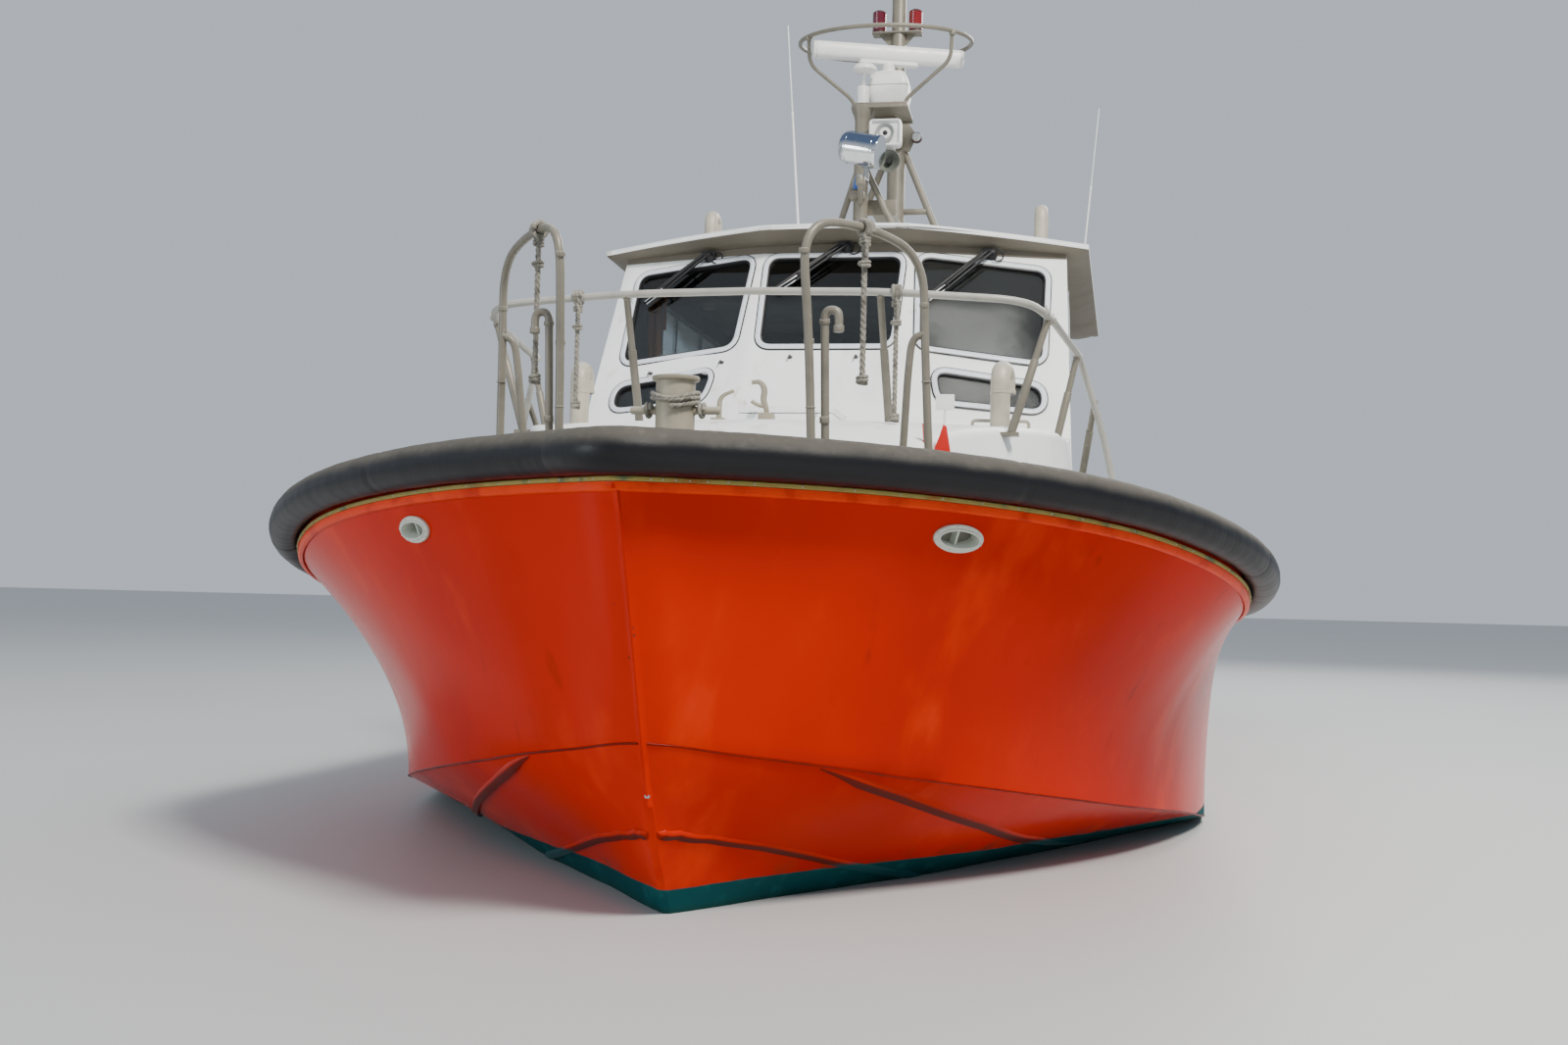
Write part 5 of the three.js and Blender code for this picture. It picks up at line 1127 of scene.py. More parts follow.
# Raised foredeck trunk and its hatch. Columns: aft, half breadth of the top, top, half breadth of the base
TRUNK_ROWS = [(950, 820, 2170, 1000), (1500, 1180, 2400, 1400), (2200, 1480, 2500, 1720),
              (3000, 1720, 2560, 1900), (4300, 1800, 2640, 1960)]
TRUNK_CAMBER, TRUNK_BASE, TRUNK_TURN = 40, 1000, 55


def through(rows, share):
    """A row of numbers at a share of the way along rows, on a smooth line."""
    place = share * (len(rows) - 1)
    low = min(int(place), len(rows) - 2)
    t = place - low
    p1, p2 = rows[low], rows[low + 1]
    p0 = rows[low - 1] if low else [2 * a - b for a, b in zip(p1, p2)]
    p3 = rows[low + 2] if low + 2 < len(rows) else [2 * b - a for a, b in zip(p1, p2)]
    return [0.5 * (2 * b + (c - a) * t + (2 * a - 5 * b + 4 * c - d) * t * t
                   + (3 * b - a - 3 * c + d) * t ** 3) for a, b, c, d in zip(p0, p1, p2, p3)]


def trunk():
    rings, seam = [], []
    for k in range(33):
        aft, top_half, top, base_half = through(TRUNK_ROWS, k / 32)
        corner = Vector((top_half, top))
        side = Vector((base_half - top_half, TRUNK_BASE - top)).normalized()
        end = corner - Vector((TRUNK_TURN, 0))
        crown = [Vector((end.x * s, top + TRUNK_CAMBER * (1 - s * s) * 0.98)) for s in (0.75, 0.5, 0.25)]
        half = [Vector((base_half, TRUNK_BASE))] + arc(corner + side * TRUNK_TURN, corner, end, 5) + crown
        rings.append([(p.x, aft, p.y) for p in half] + [(0, aft, top + TRUNK_CAMBER)]
                     + [(-p.x, aft, p.y) for p in reversed(half)])
        weld_x, weld_up = base_half * 0.25 + top_half * 0.75 + 1, top + (TRUNK_BASE - top) * 0.25
        seam += [(weld_x, aft, weld_up)] if k > 1 else []
    nose = [(x * 0.985, aft - 6, z - 8 if z > TRUNK_BASE else z) for x, aft, z in rings[0]]
    piece("trunk_body", loft([nose] + rings), WHITE, "foredeck_trunk", sharp=45)
    piece("trunk_weld", sweep(seam, 5, 6).both_sides(), WHITE, "foredeck_trunk", sharp=35)
    coaming = hatch_wall(310, 2850, 3470, 2500, 2650, 40)
    piece("hatch_coaming", coaming, WHITE, "foredeck_trunk", bevel=5, sharp=35)


def foredeck_details():
    screens = Shape()
    for outline, fore in (([(1026, 2424), (1040, 2418), (1070, 2250), (1040, 2250), (1034, 2330)], 1292),
                          ([(1140, 2420), (1156, 2408), (1184, 2240), (1090, 2240), (1098, 2300),
                            (1119, 2353)], 1288)):
        screens.add(loft([[(x + bow, y, z) for x, z in outline] for y, bow in ((fore, 0), (fore + 14, 3))]))
    piece("lamp_screen", screens, RED_PAINT, "foredeck_trunk", bevel=3, sharp=35)
    bar = bent([(1190, 2990, 2560), (1190, 2960, 2622), (1545, 3010, 2622), (1545, 3040, 2560)], 25, 5)
    piece("trunk_grab_bar", sweep(bar, 11, 14), CREAM, "foredeck_trunk", sharp=35)
    blank = joined(block(881, 1010, 3845, 3853, 2790, 2900), rod((945, 3859, 2620), (945, 3859, 2850), 9, 12))
    piece("blank_plate", blank, WHITE_PLASTIC, "foredeck_trunk", bevel=2, sharp=35)
    hooks = Shape()
    for spot in ((-240, 3235), (250, 3235), (760, 3200), (1330, 3130), (-760, 3200), (-1330, 3130)):
        base = on_front(spot)
        out = (on_front(spot, 40) - base).normalized()
        hook = [base + out * 4, base + out * 34, base + out * 40 + Vector((-12, 0, -34))]
        hooks.add(lathe([(0, 16), (5, 16), (8, 8)], base, out, 14), sweep(bent(hook, 14, 4), 6, 8))
    piece("front_hooks", hooks, DARK, "wheelhouse_front", sharp=50)


def hatch_wall(half, fore, aft, low, top, wall):
    """A square wall round a hatch."""
    outer, inner = ([(-half + w, fore + w), (half - w, fore + w), (half - w, aft - w), (-half + w, aft - w)]
                    for w in (0, wall))
    corners = ((outer, low), (outer, top), (inner, top), (inner, low))
    return loft([[(x, y, up) for x, y in outline] for outline, up in corners], closed=True)


trunk()


# Wheelhouse: walls, window frames, glass, roof, wipers and what shows inside
def house_half(up):
    share = (up - HOUSE_SIDE["low_up"]) / (HOUSE_SIDE["high_up"] - HOUSE_SIDE["low_up"])
    return HOUSE_SIDE["low_half"] + (HOUSE_SIDE["high_half"] - HOUSE_SIDE["low_half"]) * share


def on_front(point, out=0.0):
    """A point of the raked front, given across and up, moved out from its face."""
    x, up = point
    past = max(abs(x) - HOUSE["front_half"], 0)
    slope = HOUSE["sweep"] / (house_half(up) - HOUSE["front_half"])
    y = HOUSE["face_aft"] + HOUSE["rake"] * (up - HOUSE["face_up"]) + past * slope
    side = math.copysign(slope, x) if past else 0.0
    return Vector((x, y, up)) + Vector((side, -1, HOUSE["rake"])).normalized() * out


def on_side(point, out=0.0):
    """A point of the port side, given aft and up."""
    return Vector((house_half(point[1]) + out, point[0], point[1]))


def on_back(point, out=0.0):
    return Vector((point[0], HOUSE["aft_wall"] + out, point[1]))


CENTRE_WINDOW = [(-490, 3340), (490, 3340), (515, 4085), (-515, 4085)]
PORT_WINDOW = [(700, 3335), (1590, 3235), (1600, 4000), (655, 4090)]
LOW_WINDOW = [(880, 2905), (1600, 2850), (1590, 3030), (830, 3130)]
SIDE_WINDOW = [(5900, 3250), (8800, 3250), (8800, 3980), (5900, 3980)]
BACK_WINDOW = [(620, 3250), (1400, 3250), (1400, 3950), (620, 3950)]
FAR_WINDOW, FAR_LOW_WINDOW = ([(-x, z) for x, z in outline] for outline in (PORT_WINDOW, LOW_WINDOW))
WINDOWS = [(CENTRE_WINDOW, on_front), (PORT_WINDOW, on_front), (FAR_WINDOW, on_front), (LOW_WINDOW, on_front),
           (FAR_LOW_WINDOW, on_front), (SIDE_WINDOW, on_side), (BACK_WINDOW, on_back)]

# Sections of the frame and its seals, as (margin inwards, out) pairs
FRAME_SECTION = [(-38, -2), (-38, 9), (-33, 13), (-8, 13), (-1, 9), (2, 2), (2, -24)]
OUTER_SEAL = [(-47, -1), (-47, 4), (-37, 7), (-37, -1)]
INNER_SEAL = [(1, 6), (11, 2), (14, -21), (1, -23)]


def band(outline, lift, section):
    """A closed frame round a window."""
    base = rounded(outline, 90, 8)
    return loft([[lift(p, out) for p in inset(base, margin)] for margin, out in section], closed=True)


def screws(outline, lift):
    spacing = 125
    base = inset(rounded(outline, 90, 8), -21)
    line = evenly([Vector((p.x, p.y, 0)) for p in base + base[:1]], spacing)
    heads = Shape()
    for spot in line[:-1]:
        start = lift(spot.xy, 12)
        heads.add(dome(start, lift(spot.xy, 20) - start, 5, 3, 8, 3))
    return heads


def windows():
    frames_shape, seals, heads = Shape(), Shape(), Shape()
    for outline, lift in WINDOWS:
        made = [band(outline, lift, FRAME_SECTION), band(outline, lift, OUTER_SEAL),
                band(outline, lift, INNER_SEAL), screws(outline, lift)]
        if lift != on_front:
            made = [shape.both_sides() for shape in made]
        frames_shape.add(made[0])
        seals.add(made[1], made[2])
        heads.add(made[3])
    bars = Shape()
    for y in (6870, 7830):
        section = ((-24, -26), (24, -26), (24, 6), (-24, 6))
        bars.add(loft([[on_side((y + dy, up), out) for dy, out in section] for up in (3244, 3986)]))
    piece("window_frames", frames_shape.add(bars.both_sides()), FRAME_METAL, sharp=50)
    piece("window_seals", seals, BLACK, sharp=50)
    piece("window_screws", heads, STEEL, sharp=50)
    for name in ("glass_front_port", "glass_low_port"):
        paint_node(name, SALTED_GLASS)
    for name in ("glass_front_centre", "glass_front_starboard", "glass_low_starboard", "glass_side_port",
                 "glass_side_starboard", "glass_aft_port", "glass_aft_starboard", "door_glass"):
        paint_node(name, GLASS)


def walls():
    for name, inside in (("front", AFT), ("port", (-1, 0, 0)), ("starboard", PORT), ("aft", FORE)):
        wall = softened("wheelhouse_" + name, WHITE, bevel=6 if name == "front" else 4)
        # Inner faces of the walls take the near black as painted shade inside the cabin
        paint_second(wall, INSIDE_SHADE, lambda face: face.normal.dot(inside) > 0.6)
    softened("wheelhouse_door", WHITE_TRIM, "door", 3)
    softened("wheelhouse_sole", INNER, bevel=8)
    softened("helm_console", DARK)
    post = rounded([(-1655, 5560), (-1540, 5560), (-1540, 5640), (-1655, 5640)], 14, 4)
    piece("cabin_post", slab(post, 2400, 4130), WOOD)
    strap = sweep([(-1508, 5548, 4100), (-1504, 5546, 3900), (-1508, 5548, 3640)], 13, 8)
    piece("cabin_strap", strap, ORANGE_WEB, sharp=50)
    for x, side in ((-450, "starboard"), (450, "port")):
        pad = []
        for s in range(9):
            t = s / 8
            wide, deep = 238 - 14 * (2 * t - 1) ** 4, 52 - 26 * (2 * t - 1) ** 6
            pad.append([(x + wide * a, 6590 - deep * b, 2915 + 620 * t)
                        for a, b in ((-1, 0.6), (-0.8, 1), (0.8, 1), (1, 0.6), (1, -0.3), (-1, -0.3))])
        piece("seat_back_" + side, loft(pad), SEAT, sharp=60)


def roof_point(across, along):
    half = ROOF["corner_half"] + (ROOF["back_half"] - ROOF["corner_half"]) * along
    swept = max(abs(across) - ROOF["straight"], 0) / (1 - ROOF["straight"])
    front = ROOF["front_aft"] + (ROOF["corner_aft"] - ROOF["front_aft"]) * swept
    y = front + (ROOF["back_aft"] - front) * along
    return Vector((across * half, y, ROOF["edge_up"] + ROOF["camber"] * (1 - across * across)))


def under_roof(across, along):
    """A point of the roof's underside: its thin rim deepens inwards."""
    inwards = min((1 - abs(across)) / 0.08, along / 0.04, (1 - along) / 0.03, 1)
    return roof_point(across, along) - Vector((0, 0, ROOF["rim"] + (ROOF["deep"] - ROOF["rim"]) * inwards))


def roof():
    straight = ROOF["straight"]
    across = sorted(set([k / 20 - 1 for k in range(41)] + [-0.985, -straight, straight, 0.985]))
    along = [0, 0.005, 0.02, 0.04] + [k / 16 for k in range(1, 16)] + [0.97, 0.995, 1]
    shell = loft([[roof_point(c, a) for c in across] + [under_roof(c, a) for c in reversed(across)]
                  for a in along])
    obj = piece("roof_shell", shell, WHITE, "wheelhouse_roof", bevel=6, sharp=30)
    # Faces under the roof take the dark beige: soffit paint darkened as painted shade
    paint_second(obj, SOFFIT_AND_SHADE, lambda face: face.normal.z < -0.4)
    # A dark strip on the front wall under the roof's edge, down to just above the windows: a painted shadow
    # of the overhang
    shadow_rings, shadow_half, shadow_steps = [], 1748, 60
    for k in range(shadow_steps + 1):
        x = -shadow_half + 2 * shadow_half * k / shadow_steps
        low = 4128 - 10 * (x / shadow_half) ** 2
        shadow_rings.append([on_front((x, up), out) for up, out in ((low, -2), (low, 5), (4260, 5), (4260, -2))])
    piece("roof_shadow_band", loft(shadow_rings), SOFFIT_AND_SHADE, "wheelhouse_front", sharp=30)
    vent = pipe([(1510, 7160, 4100), (1510, 7165, 4975), (1510, 7345, 4975), (1510, 7345, 4850)], 60, 95, 28)
    vent.add(lathe([(0, 60), (4, 64), (20, 64), (24, 60)], (1510, 7345, 4849)),
             foot_flange((1510, 7162, 4258), 62))
    piece("roof_vent_pipe", vent, CREAM, "roof_vent")
    piece("roof_vent_pipe_starboard", vent.mirrored(), CREAM, "roof_vent_starboard")
    bead = [roof_point(-0.999 + 1.998 * k / 40, 0) + Vector((0, 7, 4)) for k in range(41)]
    piece("roof_front_bead", sweep(bead, 7, 8), WHITE, "wheelhouse_roof", sharp=35)
    for foot, tip, name in (((-465, 6000, 4270), (-617, 6000, 6315), "whip_starboard"),
                            ((1840, 8800, 4235), (2025, 8800, 6370), "whip_port")):
        foot, tip = Vector(foot), Vector(tip)
        along_whip = (tip - foot).normalized()
        whip = joined(lathe([(0, 34), (14, 32), (20, 22), (90, 20), (96, 13)], foot, along_whip, 20),
                      rod(foot + along_whip * 90, foot.lerp(tip, 0.62), 11, 14, 9),
                      rod(foot.lerp(tip, 0.62), tip, 7, 12, 4, soft=1),
                      rod(foot.lerp(tip, 0.61), foot.lerp(tip, 0.635), 11, 14, soft=2))
        piece(name + "_antenna", whip, WHITE_PLASTIC, name)


def wiper(name, pivot, tip):
    """A motor under the roof, and a blade beside its two arms, lying along them on the glass."""
    pivot, tip = Vector(pivot), Vector(tip)
    along = (tip - pivot).normalized()
    beside = Vector((along.y, -along.x))
    body = on_front(pivot)
    normal = (on_front(pivot, 60) - body).normalized()
    lead = [body + Vector(step) for step in (
        (52, -40, 52), (92, -30, 40), (96, -30, -20), (60, -44, -44), (20, -60, -30))]
    blade = [pivot + beside * 58 + along * at for at in (40, 140, 240, 340, 440, 540, 620)]
    parts = joined(lathe([(0, 44), (30, 44), (40, 38), (52, 24), (72, 20), (76, 12)], body, normal, 20),
                   block(-70, 40, -30, 8, -16, 40).placed(Matrix.Translation(body + Vector((0, -10, 20)))))
    for offset, first, last in ((0, 0, 470), (30, 40, 430)):
        arm = [on_front(pivot + beside * offset + along * (first + (last - first) * t), 60 - 14 * t * t)
               for t in (0, 0.3, 0.6, 1)]
        parts.add(sweep(arm, lambda share: 12 - 3 * share, 10))
    parts.add(sweep([on_front(p, 34) for p in blade], lambda share: 9 + 9 * math.sin(math.pi * share), 10),
              loft([[on_front(p + beside * dx, out) for dx, out in ((-3, 2), (3, 2), (9, 30), (-9, 30))]
                    for p in blade]))
    for at in (180, 430):
        start = pivot + along * at
        parts.add(rod(on_front(start, 54), on_front(start + beside * 58, 40), 9, 10))
    parts.add(sweep(bent(lead, 40, 5), 6, 8))
    piece(name + "_arm", parts, BLACK, name)
    links = Shape()
    for offset in (2, 32):
        start, end = pivot + beside * offset + along * 440, pivot + beside * (offset + 14) + along * 610
        links.add(rod(on_front(start, 46), on_front(end, 34), 5.5, 10, soft=1))
    piece(name + "_link", links, ALUMINIUM, name)


foredeck_details()
walls()
windows()
roof()
wiper("wiper_starboard", (-1010, 4110), (-1450, 3720))
wiper("wiper_centre", (90, 4150), (-380, 3760))
wiper("wiper_port", (1180, 4110), (720, 3640))


# Mast on the roof with its lamps, radar, searchlight and signals
def post_at(up):
    """A point of the axis of the front post."""
    return Vector((-145, 7350, up))


def pole_at(up):
    """A point of the axis of the rear pole."""
    return Vector((55, 8457, up))


def mast():
    roof_up, deck = 4230, RADAR["deck"]
    arm = (LIGHT["x"], LIGHT["y"], LIGHT["arm_up"])
    tubes = joined(
        lathe([(0, 68), (1640, 68), (1690, 78), (1740, 100), (1768, 105), (1776, 105)], post_at(roof_up)),
        lathe([(0, 90), (1700, 90), (1722, 86), (1740, 72), (3420, 70)], pole_at(roof_up)),
        rod(post_at(5520), (-545, 7350, 4240), 30, 20), rod(post_at(5520), (475, 7350, 4240), 30, 20),
        rod(pole_at(6080), (-665, 8457, 4240), 34, 20), rod(pole_at(6080), (822, 8457, 4240), 34, 20),
        rod(pole_at(5286), (360, 8457, 5286), 30, 18, soft=6), rod(post_at(arm[2] - 110), arm, 26, 18),
        rod((*arm[:2], arm[2] - 30), (*arm[:2], arm[2] + 35), 44, 24, soft=5),
        *[foot_flange((x, y, up), radius) for x, y, up, radius in (
            (-145, 7350, 4296, 70), (55, 8457, 4290, 92), (-545, 7350, 4300, 34), (475, 7350, 4300, 34),
            (-665, 8457, 4296, 38), (822, 8457, 4292, 38))],
        ring_at(post_at(5500), UP, 69, 5, 28), ring_at(pole_at(6040), UP, 74, 6, 28))
    piece("mast_tubes", tubes, BEIGE, "mast")
    plates = joined(
        block(-215, 275, 7275, 7830, deck - 24, deck), block(-107, 175, 7418, 7440, 5012, 5155),
        block(-50, 130, 7430, 8400, 5030, 5140), block(-20, 120, 7700, 8400, deck - 130, deck - 20),
        block(-75, 130, 7650, 7700, 5560, deck - 20), block(-145, 175, 7281, 7310, 5420, 5780),
        plate([(60, 6330), (262, 6030), (190, 5870), (60, 5900)], 8397, 8409),
        block(-205, 285, 8377, 8537, 7065, 7080),
        plate([(-150, 7070), (230, 7070), (130, 6960), (-40, 6960)], 8449, 8465),
        block(-232, -100, 7185, 7345, 5125, 5195),
        *[block(-219, 279, y, y + 8, deck - 50, deck - 24) for y in (7271, 7826)])
    piece("mast_plates", plates, BEIGE, "mast", bevel=3, sharp=35)
    bolts = joined(*[lathe([(0, 11), (7, 11), (9, 8)], (x, y, deck), UP, 6)
                     for x in (-190, -100, 160, 250) for y in (7300, 7805)],
                   *[lathe([(0, 9), (6, 9), (8, 6)], (x, 7281, z), FORE, 6)
                     for x in (-120, 150) for z in (5440, 5600, 5760)])
    piece("mast_bolts", bolts, STEEL, "mast", sharp=30)


def lamp(foot, radius, height, name, finish):
    """A ribbed lens between a base and a cap, which are given back."""
    steps, low, high = 14, radius * 0.4, height - radius * 0.45
    ribs = [(low + (high - low) * k / steps, radius * (0.95 if k % 2 else 1)) for k in range(steps + 1)]
    piece(name, lathe(ribs, foot), finish, "mast", sharp=25)
    base = lathe([(0, radius), (radius * 0.3, radius), (radius * 0.42, radius * 0.86)], foot)
    return base.add(lathe([(high, radius * 0.88), (height - radius * 0.3, radius * 0.9),
                           (height - radius * 0.08, radius * 0.6), (height, radius * 0.2)], foot))


def lamps():
    starboard, port = pole_at(7078) + Vector((-197, 0, 0)), pole_at(7078) + Vector((165, 0, 0))
    dark = joined(lamp(starboard, 70, 236, "red_lamp_lens_starboard", MAGENTA_LENS),
                  lamp(port, 70, 236, "red_lamp_lens_port", RED_LENS),
                  lamp(pole_at(7648), 60, 130, "top_lamp_lens", CLEAR_LENS))
    blue = lathe([(0, 44), (30, 43), (60, 40), (100, 34), (130, 24), (140, 12)], (-160, 7225, 5194))
    piece("blue_lamp_lens", blue, BLUE_LENS, "mast", sharp=50)
    side = (262, 8402, 6000)
    dark.add(ring_at((-160, 7225, 5198), UP, 45, 5, 28),
             lathe([(0, 44), (10, 52), (60, 52), (72, 48)], side, FORE))
    piece("side_lamp_lens", lathe([(66, 46), (80, 42), (90, 26)], side, FORE), CLEAR_LENS, "mast", sharp=50)
    piece("lamp_housings", dark, RED_DARK, "mast", sharp=35)


def signals():
    """The loudhailer with its horn below, and the dome beside the radar."""
    x0, x1, front, low, high = -56, 238, 7150, 5588, 5838
    middle = Vector(((x0 + x1) / 2, front, (low + high) / 2))
    shell = rounded([(x0, low), (x1, low), (x1, high), (x0, high)], 40, 6)
    box = loft([[(x, y, z) for x, z in inset(shell, margin)] for y, margin in (
        (7280, 8), (7262, 0), (front + 14, 0), (front + 3, 4), (front, 12), (front + 6, 22),
        (front + 26, 30))])
    mouth = lathe([(0, 30), (10, 34), (26, 46), (52, 78), (58, 86), (64, 86), (64, 78), (30, 40), (14, 20),
                   (14, 2)], middle + Vector((0, 66, 0)), FORE, 32)
    core = lathe([(0, 26), (30, 26), (38, 20), (42, 6)], middle + Vector((0, 60, 0)), FORE, 24)
    horn = lathe([(0, 42), (30, 44), (60, 50), (95, 66), (122, 92), (132, 104), (138, 106), (140, 102),
                  (128, 88), (104, 60), (80, 36), (80, 2)], (131, 7279, 5445), FORE, 36)
    node = "horn_and_hailer"
    piece("hailer_box", box.add(block(-20, 170, 7255, 7280, 5405, 5628)), WHITE_PLASTIC, node)
    piece("hailer_mouth", mouth, GREY_PLASTIC, node)
    piece("hailer_core", core, BLACK, node)
    piece("horn_bell", horn, HORN_PAINT, node, sharp=50)
    plug = lathe([(0, 30), (50, 30), (58, 24)], (131, 7200, 5445), FORE, 24)
    piece("horn_core", plug, BLACK, node, sharp=50)
    dome_foot = (-123, 7285, 6320)
    can_profile = [(1, 64), (8, 64), (12, 60), (150, 60), (164, 54), (170, 16)]
    can = joined(lathe(can_profile, (-143, 7340, RADAR["deck"])), rod((-143, 7340, 6190), dome_foot, 15, 16),
                 lathe([(-8, 40), (0, 104), (6, 112), (22, 112), (40, 104), (58, 84), (68, 56), (72, 8)],
                       dome_foot, UP, 32))
    piece("dome_can", can, WHITE_PLASTIC, "satellite_dome")


def ring_point(degrees):
    """A point of the guard ring round the radar, counted from ahead."""
    angle, tilt = math.radians(degrees), math.radians(RING["tilt"])
    ahead = RING["radius"] * math.cos(angle)
    return (Vector((RING["x"], RADAR["y"], RING["up"]))
            + Vector((RING["radius"] * math.sin(angle), -ahead * math.cos(tilt), -ahead * math.sin(tilt))))


def squarish(angle):
    """Across and up on a circle that is drawn out towards its corners."""
    power = 0.78
    c, s = math.cos(angle), math.sin(angle)
    return math.copysign(abs(c) ** power, c), math.copysign(abs(s) ** power, s)


def radar_guard():
    guard = sweep([ring_point(degrees) for degrees in range(0, 360, 4)], RING["tube"], 16, closed=True)
    for degrees, bend_x, foot_x in ((-55, -622, -238), (55, 676, 262)):
        top = ring_point(degrees)
        leg = [top, (bend_x, top.y + 60, 6370), (foot_x, 7340, 6075), (foot_x * 0.93, 7350, 6004)]
        guard.add(pipe(leg, 18, 90, 16), collar(top + Vector((0, -3, -40)), top + Vector((0, 3, 8)), 27))
    piece("radar_guard_ring", guard, BEIGE, "radar_guard")


def gearbox():
    deck, middle_x, y = RADAR["deck"], 75, RADAR["y"]

    def case(sections):
        """Rounded rectangles of (up, half breadth, half length), joined in order."""
        return loft([[(middle_x + px, y + py, deck + up) for px, py in rounded(rectangle(wide, deep), 70, 8)]
                     for up, wide, deep in sections])
    shell = case([(up, 195 * wide, 180 * deep) for up, wide, deep in (
        (1, 0.86, 0.84), (10, 0.88, 0.86), (30, 0.9, 0.9), (70, 0.93, 0.95), (130, 0.98, 0.99), (200, 1, 1),
        (250, 0.97, 0.98), (300, 0.88, 0.9), (330, 0.8, 0.84), (340, 0.74, 0.78))])
    shell.add(rod((RADAR["x"], y, deck + 330), (RADAR["x"], y, deck + 377.5), 75, 32, soft=4))
    piece("gearbox_shell", shell, WHITE_PLASTIC, "radar_gearbox")
    groove = case([(196, 190, 176), (198, 197, 182), (204, 197, 182), (206, 190, 176)])
    piece("gearbox_seam", groove, GREY_PLASTIC, "radar_gearbox")


def scanner():
    turn = Matrix.Rotation(math.radians(RADAR["turn"]), 4, "Z")
    place = Matrix.Translation((RADAR["x"], RADAR["y"], 0)) @ turn
    half, deep, high, up = RADAR["length"] / 2, RADAR["depth"] / 2, RADAR["height"] / 2, RADAR["up"]
    bar = []
    for x, size in ((-half, 0.7), (-half + 4, 0.88), (-half + 14, 0.97), (-half + 30, 1), (half - 30, 1),
                    (half - 14, 0.97), (half - 4, 0.88), (half, 0.7)):
        bar.append([(x, c * deep * size, up + s * high * size) for c, s in map(squarish, turns(32))])
    foot_up = up - high
    foot = slab(rounded(rectangle(280, 45), 30, 5), foot_up - 22, foot_up + 10)
    stem = rod((0, 0, RADAR["deck"] + 378.5), (0, 0, foot_up - 10), 60, 28, soft=3)
    bar = joined(loft(bar), foot, stem)
    piece("radar_bar", bar.placed(place), WHITE_PLASTIC, "radar_array", "radar_array")
    seams = Shape()
    for x in (-half + 34, half - 34):
        seams.add(loft([[(px, c * (deep + 1), up + s * (high + 1)) for c, s in map(squarish, turns(32))]
                        for px in (x - 2, x + 2)]))
    piece("radar_bar_seams", seams.placed(place), GREY_PLASTIC, "radar_array", "radar_array")


def searchlight():
    yoke_place = (Matrix.Translation((LIGHT["x"], LIGHT["y"], LIGHT["up"]))
                  @ Matrix.Rotation(math.radians(LIGHT["turn"]), 4, "Z"))
    drum_place = yoke_place @ Matrix.Rotation(math.radians(LIGHT["tilt"]), 4, "X")
    radius, half = LIGHT["radius"], LIGHT["length"] / 2
    foot, arm = LIGHT["arm_up"] + 35.3 - LIGHT["up"], radius + 22
    bracket = plate([(-30, foot + 4), (arm + 12, foot + 4), (arm + 12, 30), (arm, 30), (arm, foot + 16),
                     (-30, foot + 16)], -26, 26)
    swivel = joined(lathe([(0, 42), (12, 42), (18, 36)], (0, 0, foot)),
                    lathe([(0, 24), (10, 24), (14, 14)], (arm + 12, 0, 0), PORT, 20))
    yoke, drum_node = "searchlight_yoke", "searchlight_drum"
    piece("light_bracket", bracket.placed(yoke_place), STEEL, yoke, yoke, bevel=3, sharp=35)
    piece("light_swivel", swivel.placed(yoke_place), STEEL, yoke, yoke)
    drum = lathe([(-half - 8, radius - 8), (-half - 8, radius - 2), (-half - 4, radius), (-half + 20, radius),
                  (-half + 24, radius - 6), (half - 60, radius - 6), (half - 40, radius - 9),
                  (half - 20, radius - 18), (half, radius - 34), (half + 9, radius - 60),
                  (half + 12, radius - 90), (half + 12, 2)], (0, 0, 0), AFT, 56)
    drum.add(*[ring_at((0, y, 0), AFT, radius - 5, 4, 56) for y in (-half + 46, half - 62)],
             rod((radius - 30, 0, 0), (arm - 0.5, 0, 0), 16, 20), dome((0, half + 8, 0), AFT, 12, 8, 16, 4))
    piece("light_drum", drum.placed(drum_place), CHROME, drum_node, drum_node, sharp=35)
    face = lathe([(-half - 7, radius - 9), (-half - 4, 40), (-half - 3, 2)], (0, 0, 0), AFT, 56)
    piece("light_lens", face.placed(drum_place), SKY_REFLECTION_LENS, drum_node, drum_node, sharp=60)


mast()
lamps()
signals()
radar_guard()
gearbox()
scanner()
searchlight()


# Aft deck, stern and what lies below the water
RAIL_START, STERN, GATE = 9400, 15720, 600


def rail_half(y):
    return 2740 + (2540 - 2740) * (y - RAIL_START) / (15700 - RAIL_START)


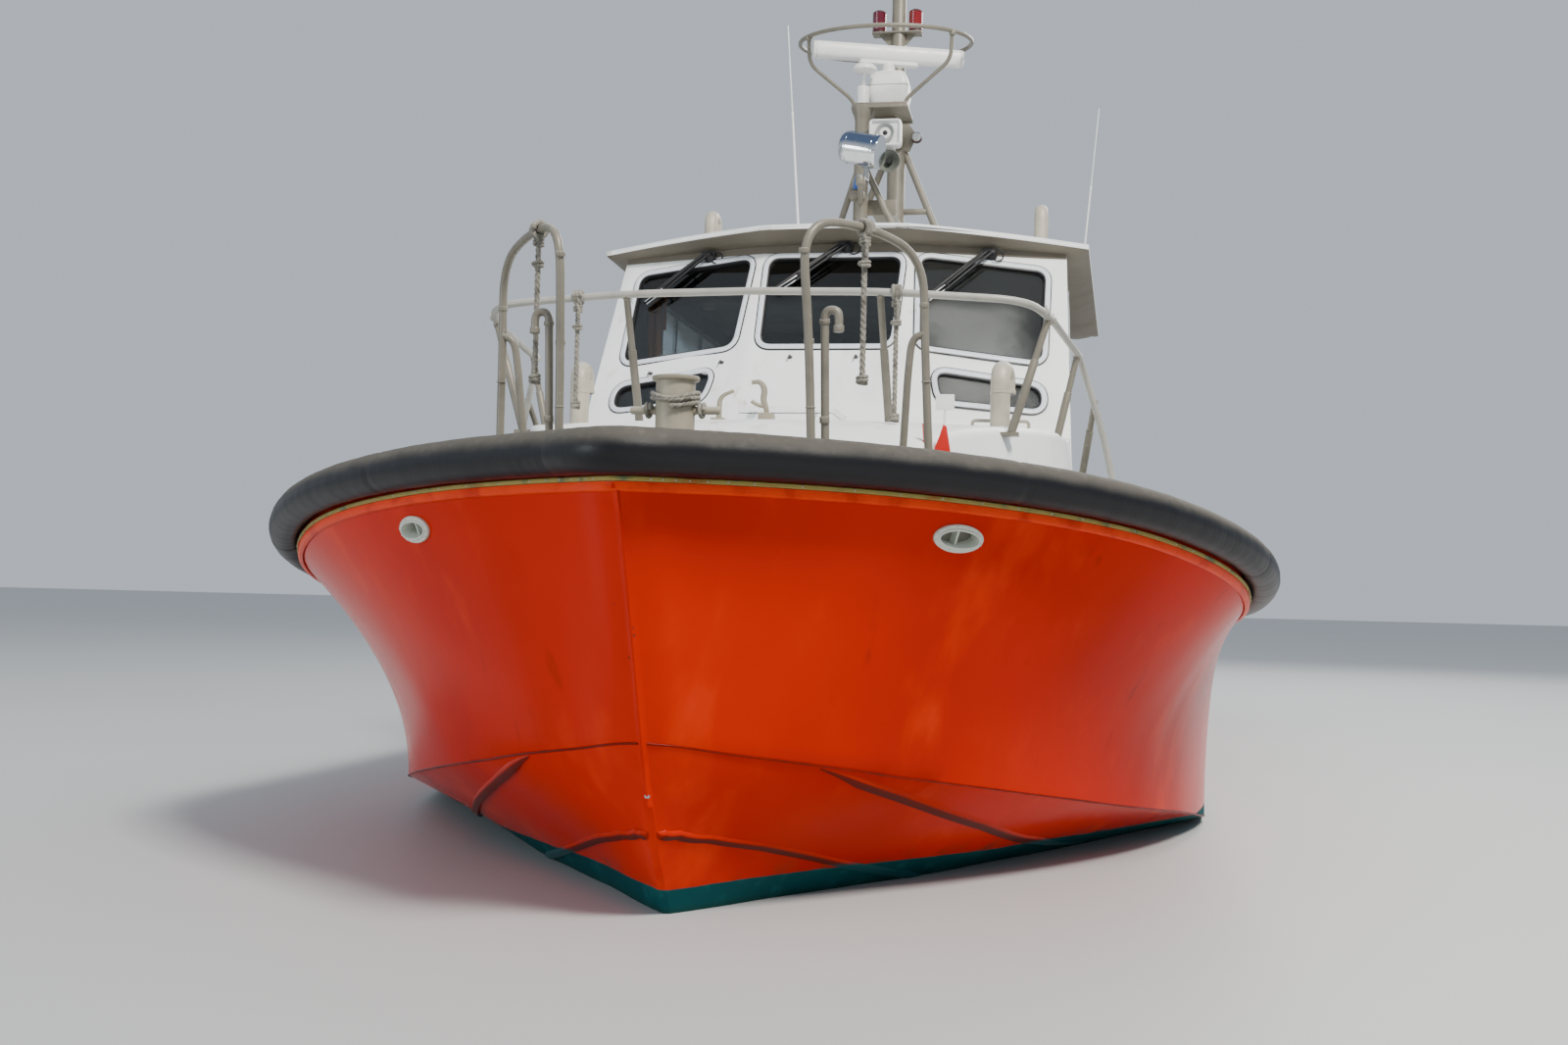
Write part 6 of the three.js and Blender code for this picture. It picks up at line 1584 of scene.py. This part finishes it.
def aft_rails():
    top, mid = 2480, 1980
    start, quarter = rail_half(RAIL_START), rail_half(STERN)
    rail = [(start, RAIL_START, 1400), (start, 9430, top), (quarter, STERN, top), (GATE, STERN, top),
            (GATE, STERN, 1400)]
    lower = [(rail_half(9430), 9430, mid), (quarter, STERN, mid), (GATE, STERN, mid)]
    posts = [9700, 11200, 12700, 14200, 15500]
    shape = joined(pipe(rail, 24, 130, 18), pipe(lower, 16, 130, 14),
                   *[rod((rail_half(y), y, 1420), (rail_half(y), y, top), 20, 16) for y in posts],
                   rod((1600, STERN, 1420), (1600, STERN, top), 20, 16),
                   *[foot_flange((rail_half(y), y, 1492), 20) for y in [RAIL_START] + posts],
                   *[foot_flange((x, STERN, 1512), 20) for x in (GATE, 1600)])
    pair("aft_rail_tubes", shape, BEIGE, "aft_rail")


def lid_grip(name, x, y, up, half, run):
    """A bow handle on a hatch lid, half its length each way along run."""
    ends = [(x + run[0] * half * s, y + run[1] * half * s) for s in (-1, 1)]
    line = bent([(*ends[0], up - 4), (*ends[0], up + 34), (*ends[1], up + 34), (*ends[1], up - 4)], 18, 5)
    feet = [lathe([(0, 20), (4, 20), (6, 17)], (*end, up - 1), UP, 20) for end in ends]
    piece(name + "_grip", joined(sweep(line, 8, 14), *feet), STEEL, body=name, sharp=35)


def stern():
    softened("engine_casing", WHITE)
    for name in ("engine_hatch_port", "engine_hatch_starboard", "lazarette_hatch", "foredeck_hatch"):
        softened(name, WHITE, name, 6 if name == "foredeck_hatch" else 5)
    softened("stern_platform", STEEL, bevel=3)
    lid_grip("engine_hatch_port", 880, 11350, 2051, 90, (0, 1))
    lid_grip("engine_hatch_starboard", -880, 11350, 2051, 90, (0, 1))
    lid_grip("lazarette_hatch", 0, 14670, 1656, 70, (1, 0))
    lid_grip("foredeck_hatch", 0, 3390, 2700, 60, (1, 0))
    coaming = hatch_wall(380, 14050, 14750, 1300, 1610, 35)
    piece("lazarette_coaming", coaming, WHITE, "hull", bevel=4, sharp=35)
    for name in ("propeller_port", "propeller_starboard"):
        softened(name, BRONZE, name, 2)
    for name in ("rudder_port", "rudder_starboard"):
        softened(name, BOTTOM_TEAL, name, 3)


aft_rails()
stern()
